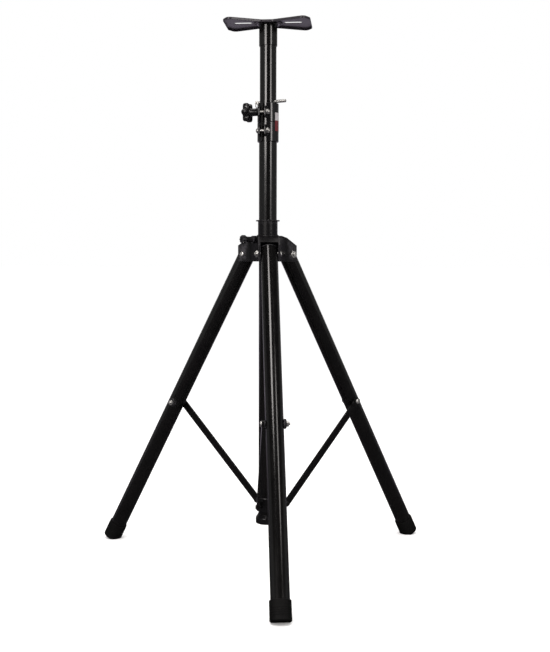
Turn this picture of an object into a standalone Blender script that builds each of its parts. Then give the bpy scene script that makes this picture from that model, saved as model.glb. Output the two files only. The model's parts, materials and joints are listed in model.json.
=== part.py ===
"""Speaker tripod stand: a pole on a sliding hub, three folding braced legs and a telescopic mast.

Metres, +Z up. The origin lies on the pole's axis at floor level, and the front leg points to -Y.
"""
import math

import bmesh
import bpy
from mathutils import Matrix

# Fits and facets
CLEARANCE = 0.0003
TUBE_STEPS = 28
HIDDEN_STEPS = 12
SMALL_STEPS = 12
HEX_STEPS = 6
WIRE_STEPS = 6
CUT_MARGIN = 0.004
EDGE_CHAMFER = 0.0012
FINE_CHAMFER = 0.001
SHARP_ANGLE = math.radians(50)
HEAD_TOP_SHARE = 0.7
HEAD_SIDE_SHARE = 0.4

# Pole: an outer tube and the mast that telescopes in it
MAST_DIAMETER = 0.035
MAST_WALL = 0.0015
MAST_LENGTH = 0.960
MAST_FOOT_ROOM = 0.010
TUBE_DIAMETER = 0.038
TUBE_WALL = 0.0012
TUBE_LENGTH = 0.853
TUBE_BELOW_PIVOTS = 0.577

# Legs, hinged on the hub
LEG_AZIMUTHS = {"front": 270.0, "right": 30.0, "left": 150.0}
LEG_DIAMETER = 0.036
LEG_WALL = 0.0012
LEG_ANGLE = math.radians(28.45)
LEG_REACH = 0.749
LEG_TOP = 0.012
LEG_PLUG_LIP = 0.002
LEG_PLUG_DEPTH = 0.030
LEG_PLUG_SHY = 0.0005
FOOT_DIAMETER = 0.041
FOOT_LENGTH = 0.038
FOOT_END = 0.010
FOOT_FLAT_DEPTH = 0.006
FOOT_ROUND = 0.0025

# Hub: three clevises round a sleeve that slides on the outer tube
PIVOT_RADIUS = 0.0495
PIVOT_BOLT_DIAMETER = 0.008
PIVOT_HEAD_DIAMETER = 0.0106
PIVOT_HEAD_HEIGHT = 0.0034
PIVOT_NUT_WIDTH = 0.013
PIVOT_NUT_HEIGHT = 0.005
CHEEK_THICKNESS = 0.0045
CLEVIS_REACH = 0.0105
CLEVIS_DROP = 0.0152
CLEVIS_ROOF = 0.025
CLEVIS_SHOULDER = 0.0355
CLEVIS_NOSE = 0.019
WEB_RADIUS = 0.0345
HUB_CORE_WALL = 0.0042
HUB_CORE_TOP = 0.041
SLEEVE_WALL = 0.0016
SLEEVE_TOP = 0.070
RING_DIAMETER = 0.051
RING_THICKNESS = 0.0022

# Thumb screw that locks the hub on the tube
LOCK_AZIMUTH = 210.0
LOCK_HEIGHT = 0.031
LOCK_BOSS_DIAMETER = 0.016
LOCK_BOSS_REACH = 0.040
LOCK_SCREW_DIAMETER = 0.006
LOCK_KNOB_DIAMETER = 0.018
LOCK_KNOB_LENGTH = 0.011
LOCK_KNOB_REACH = 0.067
LOCK_KNOB_ROUND = 0.001
LOCK_NECK_DIAMETER = 0.012
LOCK_KNOB_LOBES = 8
LOCK_KNOB_SCALLOP = 0.0008

# Braces, from each leg to the collar at the foot of the pole
BRACE_BOLT_AT = 0.3755
BRACE_BOLT_DIAMETER = 0.006
BRACE_HEAD_DIAMETER = 0.012
BRACE_HEAD_HEIGHT = 0.0034
BRACE_NUT_WIDTH = 0.010
BRACE_NUT_HEIGHT = 0.004
BRACE_STUD_END = 0.003
BRACE_WASHER_DIAMETER = 0.020
BRACE_WASHER_HEIGHT = 0.005
SPACER_DIAMETER = 0.014
SPACER_THICKNESS = 0.0022
BAR_WIDTH = 0.015
BAR_THICKNESS = 0.004
BRACE_PIN_DIAMETER = 0.006
BRACE_PIN_HEAD_DIAMETER = 0.010
BRACE_PIN_HEAD_HEIGHT = 0.0024

# Lower collar, end cap and the screw that holds the collar on the tube
COLLAR_RADIUS = 0.0232
COLLAR_HEIGHT = 0.030
LUG_PIN_RADIUS = 0.035
LUG_PIN_HEIGHT = 0.038
LUG_THICKNESS = 0.003
LUG_END_RADIUS = 0.007
NOTCH_FLARE = 0.0022
END_CAP_DIAMETER = 0.050
END_CAP_SKIRT = 0.016
END_CAP_BASE = 0.004
END_CAP_ROUND = 0.003
END_CAP_PLUG = 0.020
COLLAR_SCREW_AZIMUTH = 137.0
COLLAR_SCREW_DIAMETER = 0.005
COLLAR_SCREW_HEAD_DIAMETER = 0.009
COLLAR_SCREW_HEAD_HEIGHT = 0.003

# Split clamp where the mast leaves the tube
CLAMP_DIAMETER = 0.045
CLAMP_GRIP = 0.0385
CLAMP_HEAD = 0.0425
CLAMP_AZIMUTH = 243.0
CLAMP_SLIT = 0.010
CLAMP_CROSS_SLIT = 0.0016
EAR_THICKNESS = 0.0035
EAR_BOLT_RADIUS = 0.0275
EAR_END = 0.0065
EAR_HALF_HEIGHT = 0.0125
EAR_CORNER = 0.006
KNOB_BOLT_HEIGHT = 0.022
GRIP_BOLT_DROP = 0.017
GRIP_BOLT_DIAMETER = 0.006
GRIP_HEAD_DIAMETER = 0.011
GRIP_HEAD_HEIGHT = 0.006
GRIP_NUT_WIDTH = 0.010
GRIP_NUT_HEIGHT = 0.005
STUD_DIAMETER = 0.006
STUD_NUT_WIDTH = 0.010
STUD_NUT_HEIGHT = 0.005
STUD_END = 0.002
STUD_IN_KNOB = 0.009
KNOB_DIAMETER = 0.043
KNOB_LENGTH = 0.0135
KNOB_NECK_DIAMETER = 0.016
KNOB_NECK_LENGTH = 0.0195
KNOB_FOOT_DIAMETER = 0.0115
KNOB_FOOT_LENGTH = 0.004
KNOB_LOBES = 6
KNOB_SCALLOP = 0.0028
KNOB_ROUND = 0.003

# Lock pin through the mast, just above the clamp
PIN_AZIMUTH = -30.0
PIN_DIAMETER = 0.0066
PIN_SEAT = 0.0005
PIN_REACH = 0.042
PIN_TAIL = 0.022
PIN_TIP_ROUND = 0.0015
PIN_TAB_LENGTH = 0.010
PIN_TAB_HEIGHT = 0.008
PIN_TAB_THICKNESS = 0.0024
PIN_TAB_ROOT_SHARE = 0.6
PIN_RING_RADIUS = 0.0055
PIN_RING_WIRE = 0.0018
PIN_HOLE_PITCH = 0.090
PIN_HOLE_COUNT = 6

# Tray on top of the mast
TRAY_ABOVE_CLAMP = 0.1686
TRAY_AZIMUTH = -9.0
TRAY_HALF_LENGTH = 0.091
TRAY_END_HALF_WIDTH = 0.060
TRAY_SHOULDER = 0.079
TRAY_WAIST_HALF_WIDTH = 0.030
TRAY_WAIST_HALF_LENGTH = 0.012
TRAY_CORNER = 0.010
TRAY_END_TAPER = 0.68
TRAY_SHEET = 0.0016
TRAY_LIP = 0.0055
SLOT_START = 0.040
SLOT_END = 0.066
SLOT_WIDTH = 0.0135
TRAY_RIB_WIDTH = 0.003
TRAY_RIB_HEIGHT = 0.0025
TRAY_RIB_LENGTH = 0.028
TRAY_RIB_ANGLE = math.radians(25)
TRAY_RIB_ROUND_SHARE = 0.9
SOCKET_WALL = 0.0014
SOCKET_LENGTH = 0.0483
SOCKET_FLANGE_DIAMETER = 0.050
SOCKET_FLANGE_THICKNESS = 0.003
SOCKET_FILLET_WIDTH = 0.002
SOCKET_FILLET_HEIGHT = 0.004
TOP_PLUG_LENGTH = 0.026
TRAY_SCREW_DIAMETER = 0.006
TRAY_SCREW_HEAD_DIAMETER = 0.0115
TRAY_SCREW_LENGTH = 0.022
MAST_BUSH_LENGTH = 0.025
MAST_BUSH_LIP = 0.006

# Worked out from the sizes above
MAST_R = MAST_DIAMETER / 2
TUBE_R = TUBE_DIAMETER / 2
LEG_R = LEG_DIAMETER / 2
FOOT_R = FOOT_DIAMETER / 2
PIVOT_Z = LEG_REACH * math.cos(LEG_ANGLE) + FOOT_R * math.sin(LEG_ANGLE) - FOOT_FLAT_DEPTH
TUBE_BOTTOM = PIVOT_Z - TUBE_BELOW_PIVOTS
TUBE_TOP = TUBE_BOTTOM + TUBE_LENGTH
CLAMP_BOTTOM = TUBE_TOP - CLAMP_GRIP
CLAMP_TOP = TUBE_TOP + CLAMP_HEAD
PIN_Z = CLAMP_TOP + PIN_DIAMETER / 2 + PIN_SEAT
LOW_TRAY = CLAMP_TOP + TRAY_ABOVE_CLAMP
LOWEST_MAST = TUBE_BOTTOM + END_CAP_PLUG + MAST_BUSH_LIP + MAST_FOOT_ROOM
SHORTFALL = LOWEST_MAST - (LOW_TRAY - CLEARANCE - MAST_LENGTH)
MAST_RISE = PIN_HOLE_PITCH * max(0, math.ceil(SHORTFALL / PIN_HOLE_PITCH))
TRAY_UNDER = LOW_TRAY + MAST_RISE
MAST_TOP = TRAY_UNDER - CLEARANCE
MAST_BOTTOM = MAST_TOP - MAST_LENGTH
BRACE_BOLT_R = PIVOT_RADIUS + BRACE_BOLT_AT * math.sin(LEG_ANGLE)
BRACE_BOLT_Z = PIVOT_Z - BRACE_BOLT_AT * math.cos(LEG_ANGLE)
LUG_PIN_Z = TUBE_BOTTOM + LUG_PIN_HEIGHT
BRACE_ANGLE = math.atan2(BRACE_BOLT_R - LUG_PIN_RADIUS, BRACE_BOLT_Z - LUG_PIN_Z)
BRACE_LENGTH = math.hypot(BRACE_BOLT_R - LUG_PIN_RADIUS, BRACE_BOLT_Z - LUG_PIN_Z)
CHEEK_IN = LEG_R + 2 * CLEARANCE
CHEEK_OUT = CHEEK_IN + CHEEK_THICKNESS
BAR_IN = LEG_R + SPACER_THICKNESS + 2 * CLEARANCE
BAR_OUT = BAR_IN + BAR_THICKNESS
LUG_OUT = BAR_IN - CLEARANCE
LUG_IN = LUG_OUT - LUG_THICKNESS
EAR_OUT = CLAMP_SLIT / 2 + EAR_THICKNESS

# Turns that lay a piece modelled along Z on another local axis
Z_TO_MINUS_Y = (math.pi / 2, 0.0, 0.0)
Z_TO_PLUS_Y = (-math.pi / 2, 0.0, 0.0)
Z_TO_PLUS_X = (0.0, math.pi / 2, 0.0)


def clear_scene():
    """Remove every object and make the two collections."""
    for old in list(bpy.data.objects):
        bpy.data.objects.remove(old, do_unlink=True)
    groups = []
    for name in ("speaker_tripod_stand", "cutters"):
        group = bpy.data.collections.new(name)
        bpy.context.scene.collection.children.link(group)
        groups.append(group)
    return groups


PARTS, CUTTERS = clear_scene()


def finish(name, colour, roughness, metallic):
    """Return a plain Principled material."""
    material = bpy.data.materials.new(name)
    material.use_nodes = True
    shader = material.node_tree.nodes["Principled BSDF"]
    shader.inputs["Base Color"].default_value = (*colour, 1.0)
    shader.inputs["Roughness"].default_value = roughness
    shader.inputs["Metallic"].default_value = metallic
    return material


GLOSS_BLACK = ("gloss_black_paint", (0.012, 0.012, 0.013), 0.24, 0.0)
BLACK_NYLON = ("black_nylon", (0.022, 0.022, 0.024), 0.45, 0.0)
BLACK_RUBBER = ("black_rubber", (0.016, 0.016, 0.016), 0.75, 0.0)
ZINC = ("zinc_plate", (0.62, 0.62, 0.60), 0.30, 1.0)
TRAY_PAINT = ("tray_paint", (0.030, 0.028, 0.034), 0.40, 0.0)
GREY_NYLON = ("grey_nylon", (0.10, 0.10, 0.10), 0.50, 0.0)


def frame(name, azimuth=0.0, radius=0.0, height=0.0, tilt=0.0):
    """Return an empty whose X points outward, Y along the tangent and Z up, tilted about Y."""
    empty = bpy.data.objects.new(name, None)
    empty.empty_display_size = 0.02
    turn = math.radians(azimuth)
    empty.location = (radius * math.cos(turn), radius * math.sin(turn), height)
    empty.rotation_euler = (0.0, tilt, turn)
    PARTS.objects.link(empty)
    return empty


def place(name, mesh, parent, look=None, location=(0, 0, 0), rotation=(0, 0, 0)):
    """Link a mesh as a part with its own material, or as a cutter when it has no look."""
    thing = bpy.data.objects.new(name, mesh)
    thing.parent = parent
    thing.location = location
    thing.rotation_euler = rotation
    if look:
        PARTS.objects.link(thing)
        mesh.materials.append(finish(f"{name}_{look[0]}", *look[1:]))
    else:
        CUTTERS.objects.link(thing)
        thing.hide_render = True
        thing.display_type = "WIRE"
    return thing


def turned(name, profile, parent, look=None, closed=False, steps=TUBE_STEPS, **where):
    """Turn a profile of (radius, height) points, which runs down its outer side, round Z."""
    mesh = bpy.data.meshes.new(name)
    work = bmesh.new()
    points = [work.verts.new((radius, 0.0, height)) for radius, height in profile]
    for start, end in zip(points, points[1:]):
        work.edges.new((start, end))
    if closed:
        work.edges.new((points[-1], points[0]))
    work.to_mesh(mesh)
    work.free()
    thing = place(name, mesh, parent, look, **where)
    screw = thing.modifiers.new("turn", "SCREW")
    screw.axis = "Z"
    screw.angle = 2 * math.pi
    screw.steps = steps
    screw.render_steps = steps
    screw.use_merge_vertices = True
    screw.merge_threshold = 0.00001
    return thing


def tube(name, outer, inner, bottom, top, parent, look=None, steps=TUBE_STEPS, **where):
    """Turn a plain ring or tube."""
    profile = [(outer, top), (outer, bottom), (inner, bottom), (inner, top)]
    return turned(name, profile, parent, look, closed=True, steps=steps, **where)


def rod(name, radius, bottom, top, parent, look=None, steps=SMALL_STEPS, **where):
    """Turn a plain solid rod."""
    profile = [(0.0, top), (radius, top), (radius, bottom), (0.0, bottom)]
    return turned(name, profile, parent, look, steps=steps, **where)


def headed(name, shank, head, head_height, seat, end, parent, look, **where):
    """Turn a bolt or rivet with a low domed head that sits above the height named seat."""
    top = seat + head_height
    profile = [
        (0.0, top), (head * HEAD_TOP_SHARE, top), (head, seat + head_height * HEAD_SIDE_SHARE),
        (head, seat), (shank, seat), (shank, end), (0.0, end),
    ]
    return turned(name, profile, parent, look, steps=SMALL_STEPS, **where)


def hex_nut(name, width, bore, seat, height, parent, look, **where):
    """Turn a six-sided nut whose lower face is at the height named seat."""
    corner = width / math.sqrt(3)
    nut = rod(name, corner, seat, seat + height, parent, look, steps=HEX_STEPS, **where)
    low, high = seat - CUT_MARGIN, seat + height + CUT_MARGIN
    cut(nut, rod(f"{name}_hole", bore, low, high, parent, **where))
    return nut


def plate(name, outlines, thickness, parent, look=None, location=(0, 0, 0), rotation=(0, 0, 0)):
    """Fill 2D outlines, the first outside and the rest holes, and extrude them about their plane."""
    curve = bpy.data.curves.new(name, "CURVE")
    curve.dimensions = "2D"
    curve.fill_mode = "BOTH"
    curve.extrude = thickness / 2
    for outline in outlines:
        spline = curve.splines.new("POLY")
        spline.points.add(len(outline) - 1)
        for point, (x, y) in zip(spline.points, outline):
            point.co = (x, y, 0.0, 1.0)
        spline.use_cyclic_u = True
    drawing = bpy.data.objects.new(f"{name}_drawing", curve)
    bpy.context.scene.collection.objects.link(drawing)
    depsgraph = bpy.context.evaluated_depsgraph_get()
    mesh = bpy.data.meshes.new_from_object(drawing.evaluated_get(depsgraph))
    bpy.data.objects.remove(drawing, do_unlink=True)
    work = bmesh.new()
    work.from_mesh(mesh)
    bmesh.ops.remove_doubles(work, verts=work.verts, dist=0.000001)
    bmesh.ops.recalc_face_normals(work, faces=work.faces)
    work.to_mesh(mesh)
    work.free()
    mesh.name = name
    mesh.materials.clear()
    return place(name, mesh, parent, look, location, rotation)


def block(name, low, high, parent):
    """Return a box cutter between two local corners."""
    mesh = bpy.data.meshes.new(name)
    work = bmesh.new()
    bmesh.ops.create_cube(work, size=1.0)
    size = [b - a for a, b in zip(low, high)]
    middle = [(a + b) / 2 for a, b in zip(low, high)]
    stretch = Matrix.Translation(middle) @ Matrix.Diagonal((*size, 1.0))
    bmesh.ops.transform(work, matrix=stretch, verts=work.verts)
    work.to_mesh(mesh)
    work.free()
    return place(name, mesh, parent)


def combine(target, tool, operation):
    """Add one Boolean to a part."""
    modifier = target.modifiers.new(tool.name, "BOOLEAN")
    modifier.operation = operation
    modifier.solver = "EXACT"
    modifier.object = tool


def cut(target, *cutters):
    """Cut each cutter out of a part."""
    for cutter in cutters:
        combine(target, cutter, "DIFFERENCE")


def join(target, *pieces):
    """Unite each helper piece with a part."""
    for piece in pieces:
        combine(target, piece, "UNION")


def arc(x, y, radius, start, end, count=6):
    """Return points on an arc, with angles in degrees."""
    turns = [math.radians(start + (end - start) * i / count) for i in range(count + 1)]
    return [(x + radius * math.cos(a), y + radius * math.sin(a)) for a in turns]


def circle(x, y, radius, count=SMALL_STEPS):
    """Return points round a full circle."""
    return arc(x, y, radius, 0.0, 360.0, count)[:-1]


def rounded(corners, radius, count=4):
    """Return an outline whose corners are rounded by arcs tangent to both edges."""
    outline = []
    total = len(corners)
    for i, (x, y) in enumerate(corners):
        arms = []
        for j in (i - 1, (i + 1) % total):
            dx, dy = corners[j][0] - x, corners[j][1] - y
            length = math.hypot(dx, dy)
            arms.append((dx / length, dy / length))
        (ax, ay), (bx, by) = arms
        half = math.acos(max(-1.0, min(1.0, ax * bx + ay * by))) / 2
        middle = math.hypot(ax + bx, ay + by)
        reach = radius / math.sin(half)
        cx, cy = x + (ax + bx) / middle * reach, y + (ay + by) / middle * reach
        run = radius / math.tan(half)
        start = math.atan2(y + ay * run - cy, x + ax * run - cx)
        sweep = math.atan2(y + by * run - cy, x + bx * run - cx) - start
        sweep = (sweep + math.pi) % (2 * math.pi) - math.pi
        outline += arc(cx, cy, radius, math.degrees(start), math.degrees(start + sweep), count)
    return outline


def lobed(radius, scallop, lobes, points_per_lobe=6):
    """Return a knob's outline, whose radius dips by a scallop between lobes."""
    total = lobes * points_per_lobe
    outline = []
    for i in range(total):
        turn = 2 * math.pi * i / total
        dip = scallop * (1 - math.cos(lobes * turn)) / 2
        reach = radius - 2 * dip
        outline.append((reach * math.cos(turn), reach * math.sin(turn)))
    return outline


def soften(thing, width, segments=2):
    """Round the sharp edges of a plate."""
    bevel = thing.modifiers.new("soft_edges", "BEVEL")
    bevel.width = width
    bevel.segments = segments
    bevel.limit_method = "ANGLE"
    bevel.angle_limit = SHARP_ANGLE


def build_pole(stand):
    """Make the outer tube with its end cap and lower collar."""
    tube("outer_tube", TUBE_R, TUBE_R - TUBE_WALL, TUBE_BOTTOM, TUBE_TOP, stand, GLOSS_BLACK)
    bore = TUBE_R - TUBE_WALL - CLEARANCE
    seat = TUBE_BOTTOM - CLEARANCE
    skirt = TUBE_BOTTOM + END_CAP_SKIRT
    outer = END_CAP_DIAMETER / 2
    base = seat - END_CAP_BASE
    profile = [
        (0.0, TUBE_BOTTOM + END_CAP_PLUG), (bore, TUBE_BOTTOM + END_CAP_PLUG), (bore, seat),
        (TUBE_R + CLEARANCE, seat), (TUBE_R + CLEARANCE, skirt),
        (TUBE_R + CLEARANCE + FINE_CHAMFER, skirt), (outer, skirt - END_CAP_SKIRT / 2),
    ]
    profile += arc(outer - END_CAP_ROUND, base + END_CAP_ROUND, END_CAP_ROUND, 0, -90, 4)
    profile.append((0.0, base))
    turned("tube_end_cap", profile, stand, BLACK_NYLON)

    middle = TUBE_BOTTOM + LUG_PIN_HEIGHT
    low, high = middle - COLLAR_HEIGHT / 2, middle + COLLAR_HEIGHT / 2
    edge = EDGE_CHAMFER
    inner = TUBE_R + CLEARANCE
    profile = [
        (inner, high), (COLLAR_RADIUS - edge, high), (COLLAR_RADIUS, high - edge),
        (COLLAR_RADIUS, low + edge), (COLLAR_RADIUS - edge, low), (inner, low),
    ]
    collar = turned("lower_collar", profile, stand, BLACK_NYLON, closed=True)
    for leg, azimuth in LEG_AZIMUTHS.items():
        tangent = frame(f"lug_frame_{leg}", azimuth, 0.0, middle)
        end = LUG_END_RADIUS
        lug = [(0.0, -end), *arc(LUG_PIN_RADIUS, 0.0, end, -90, 90), (0.0, end)]
        slot = BRACE_PIN_DIAMETER / 2 + CLEARANCE
        drop = end + CUT_MARGIN
        notch = [
            *arc(LUG_PIN_RADIUS, 0.0, slot, 0, 180),
            (LUG_PIN_RADIUS - slot - NOTCH_FLARE, -drop), (LUG_PIN_RADIUS + slot, -drop),
        ]
        across = -(LUG_IN + LUG_OUT) / 2
        seat_at = {"location": (0.0, across, 0.0), "rotation": Z_TO_MINUS_Y}
        join(collar, plate(f"lug_{leg}", [lug], LUG_THICKNESS, tangent, **seat_at))
        cut(collar, plate(f"lug_notch_{leg}", [notch], LUG_THICKNESS + CUT_MARGIN, tangent, **seat_at))
    low, high = low - CUT_MARGIN, high + CUT_MARGIN
    cut(collar, rod("lower_collar_bore", inner, low, high, stand, steps=TUBE_STEPS))

    screw_frame = frame("collar_screw_frame", COLLAR_SCREW_AZIMUTH, 0.0, middle)
    shank = COLLAR_SCREW_DIAMETER / 2
    low, high = TUBE_R - CUT_MARGIN, COLLAR_RADIUS + CUT_MARGIN
    hole = rod("collar_screw_hole", shank + CLEARANCE, low, high, screw_frame, rotation=Z_TO_PLUS_X)
    cut(collar, hole)
    headed("collar_screw", shank, COLLAR_SCREW_HEAD_DIAMETER / 2, COLLAR_SCREW_HEAD_HEIGHT,
           COLLAR_RADIUS + CLEARANCE, TUBE_R + CLEARANCE, screw_frame, ZINC, rotation=Z_TO_PLUS_X)


def build_clamp(stand):
    """Make the split clamp with its liner, bolts and knob."""
    ears = frame("clamp_frame", CLAMP_AZIMUTH)
    outer, inner = CLAMP_DIAMETER / 2, TUBE_R + CLEARANCE
    edge = EDGE_CHAMFER
    profile = [
        (inner, CLAMP_TOP), (outer - edge, CLAMP_TOP), (outer, CLAMP_TOP - edge),
        (outer, CLAMP_BOTTOM + edge), (outer - edge, CLAMP_BOTTOM), (inner, CLAMP_BOTTOM),
    ]
    collar = turned("clamp_collar", profile, stand, BLACK_NYLON, closed=True)
    liner = tube("clamp_liner", TUBE_R, MAST_R + CLEARANCE, TUBE_TOP + CLEARANCE, CLAMP_TOP, stand,
                 GREY_NYLON)
    knob_z, grip_z = TUBE_TOP + KNOB_BOLT_HEIGHT, TUBE_TOP - GRIP_BOLT_DROP
    far = EAR_BOLT_RADIUS + EAR_END
    half = EAR_HALF_HEIGHT
    for name, height in (("knob_ears", knob_z), ("grip_ears", grip_z)):
        corners = [(TUBE_R, -half), (far, -half), (far, half), (TUBE_R, half)]
        pair = plate(name, [rounded(corners, EAR_CORNER)], 2 * EAR_OUT, ears,
                     location=(0.0, 0.0, height), rotation=Z_TO_MINUS_Y)
        join(collar, pair)
    low, high = CLAMP_BOTTOM - CUT_MARGIN, CLAMP_TOP + CUT_MARGIN
    half, out = CLAMP_SLIT / 2, far + CUT_MARGIN
    slit = block("clamp_slit", (0.0, -half, low), (out, half, high), ears)
    cross_low = TUBE_TOP + CLAMP_CROSS_SLIT
    cross_high = cross_low + CLAMP_CROSS_SLIT
    reach = outer + CUT_MARGIN
    cross = block("clamp_cross_slit", (0.0, -reach, cross_low), (out, reach, cross_high), ears)
    bore = rod("clamp_bore", inner, low, high, stand, steps=TUBE_STEPS)
    cut(collar, bore, slit, cross)
    cut(liner, slit)

    along = {"location": (EAR_BOLT_RADIUS, 0.0, knob_z), "rotation": Z_TO_MINUS_Y}
    stud_r = STUD_DIAMETER / 2
    hole_end = EAR_OUT + CUT_MARGIN
    cut(collar, rod("stud_hole", stud_r + CLEARANCE, -hole_end, hole_end, ears, **along))
    nut_seat = EAR_OUT + CLEARANCE
    over = {"location": (EAR_BOLT_RADIUS, 0.0, knob_z), "rotation": Z_TO_PLUS_Y}
    hex_nut("clamp_stud_nut", STUD_NUT_WIDTH, stud_r + CLEARANCE, nut_seat, STUD_NUT_HEIGHT, ears, ZINC,
            **over)

    knob_axis = frame("clamp_knob_axis")
    knob_axis.parent = ears
    knob_axis.location = along["location"]
    knob_axis.rotation_euler = Z_TO_MINUS_Y
    neck_start = EAR_OUT + CLEARANCE
    head_start = neck_start + KNOB_NECK_LENGTH
    middle = head_start + KNOB_LENGTH / 2
    outline = lobed(KNOB_DIAMETER / 2, KNOB_SCALLOP, KNOB_LOBES)
    grip = plate("clamp_knob", [outline], KNOB_LENGTH, knob_axis, BLACK_NYLON, location=(0.0, 0.0, middle))
    soften(grip, KNOB_ROUND)
    step = neck_start + KNOB_FOOT_LENGTH
    neck_r, foot_r = KNOB_NECK_DIAMETER / 2, KNOB_FOOT_DIAMETER / 2
    profile = [(0.0, middle), (neck_r, middle), (neck_r, step), (foot_r, step), (foot_r, neck_start),
               (0.0, neck_start)]
    join(grip, turned("clamp_knob_neck", profile, knob_axis, steps=SMALL_STEPS))
    stud_top = head_start + STUD_IN_KNOB
    cut(grip, rod("clamp_knob_bore", stud_r + CLEARANCE, 0.0, stud_top + CLEARANCE, knob_axis))
    stud_tail = -(nut_seat + STUD_NUT_HEIGHT + STUD_END)
    rod("clamp_stud", stud_r, stud_tail, stud_top, knob_axis, ZINC)

    along = {"location": (EAR_BOLT_RADIUS, 0.0, grip_z), "rotation": Z_TO_MINUS_Y}
    over = {"location": (EAR_BOLT_RADIUS, 0.0, grip_z), "rotation": Z_TO_PLUS_Y}
    bolt_r = GRIP_BOLT_DIAMETER / 2
    cut(collar, rod("grip_hole", bolt_r + CLEARANCE, -hole_end, hole_end, ears, **along))
    bolt_tail = -(nut_seat + GRIP_NUT_HEIGHT + STUD_END)
    headed("clamp_bolt", bolt_r, GRIP_HEAD_DIAMETER / 2, GRIP_HEAD_HEIGHT, nut_seat, bolt_tail, ears, ZINC,
           **along)
    hex_nut("clamp_nut", GRIP_NUT_WIDTH, bolt_r + CLEARANCE, nut_seat, GRIP_NUT_HEIGHT, ears, ZINC, **over)


def build_mast(stand):
    """Make the telescopic mast with its bush, plug and lock pin."""
    mast = frame("mast_axis")
    mast.parent = stand
    bore = MAST_R - MAST_WALL
    pole = tube("mast_tube", MAST_R, bore, MAST_BOTTOM, MAST_TOP, mast, GLOSS_BLACK)
    pin_axis = frame("pin_axis", PIN_AZIMUTH, 0.0, PIN_Z)
    pin_axis.parent = mast
    hole_r = PIN_DIAMETER / 2 + CLEARANCE
    hole_end = MAST_R + CUT_MARGIN
    for i in range(PIN_HOLE_COUNT):
        drop = {"location": (0.0, 0.0, MAST_RISE - i * PIN_HOLE_PITCH), "rotation": Z_TO_PLUS_X}
        cut(pole, rod(f"pin_hole_{i}", hole_r, -hole_end, hole_end, pin_axis, **drop))

    shank, tip = PIN_DIAMETER / 2, PIN_TIP_ROUND
    profile = [(0.0, PIN_REACH), *arc(shank - tip, PIN_REACH - tip, tip, 90, 0, 3)]
    profile += [(shank, -PIN_TAIL), (0.0, -PIN_TAIL)]
    pin = turned("lock_pin", profile, pin_axis, ZINC, steps=SMALL_STEPS, rotation=Z_TO_PLUS_X)
    half = PIN_TAB_HEIGHT / 2
    eye = -(PIN_TAIL + PIN_TAB_LENGTH / 2)
    wire = PIN_RING_WIRE / 2
    root, root_half = -PIN_TAIL + CUT_MARGIN / 2, half * PIN_TAB_ROOT_SHARE
    tab = [(root, root_half), *arc(eye, 0.0, half, 90, 270), (root, -root_half)]
    eye_hole = circle(eye, 0.0, wire + 2 * CLEARANCE)
    join(pin, plate("pin_tab", [tab, eye_hole], PIN_TAB_THICKNESS, pin_axis, rotation=Z_TO_MINUS_Y))
    bpy.ops.mesh.primitive_torus_add(major_radius=PIN_RING_RADIUS, minor_radius=wire,
                                     major_segments=TUBE_STEPS, minor_segments=WIRE_STEPS)
    ring = bpy.context.object
    mesh = ring.data
    bpy.data.objects.remove(ring, do_unlink=True)
    place("pin_ring", mesh, pin_axis, ZINC, location=(eye, 0.0, -PIN_RING_RADIUS), rotation=Z_TO_PLUS_X)

    plug_r = bore - CLEARANCE
    lip = MAST_BOTTOM - CLEARANCE
    profile = [
        (0.0, MAST_BOTTOM + MAST_BUSH_LENGTH), (plug_r, MAST_BOTTOM + MAST_BUSH_LENGTH), (plug_r, lip),
        (MAST_R, lip), (MAST_R, lip - MAST_BUSH_LIP + FINE_CHAMFER),
        (MAST_R - FINE_CHAMFER, lip - MAST_BUSH_LIP), (0.0, lip - MAST_BUSH_LIP),
    ]
    turned("mast_end_bush", profile, mast, GREY_NYLON, steps=HIDDEN_STEPS)
    screw_hole = TRAY_SCREW_DIAMETER / 2 + CLEARANCE
    plug = tube("mast_top_plug", plug_r, screw_hole, MAST_TOP - TOP_PLUG_LENGTH, MAST_TOP, mast, GREY_NYLON,
                steps=HIDDEN_STEPS)
    return mast, plug


def tray_outline(inset):
    """Return the bow-tie outline of the tray, drawn in by an inset."""
    end, wide = TRAY_HALF_LENGTH - inset, TRAY_END_HALF_WIDTH - inset
    waist, middle = TRAY_WAIST_HALF_WIDTH - inset, TRAY_WAIST_HALF_LENGTH
    narrow = wide * TRAY_END_TAPER
    corners = [
        (end, -narrow), (TRAY_SHOULDER, -wide), (middle, -waist), (-middle, -waist),
        (-TRAY_SHOULDER, -wide), (-end, -narrow), (-end, narrow), (-TRAY_SHOULDER, wide),
        (-middle, waist), (middle, waist), (TRAY_SHOULDER, wide), (end, narrow),
    ]
    return rounded(corners[::-1], TRAY_CORNER - inset)


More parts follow.
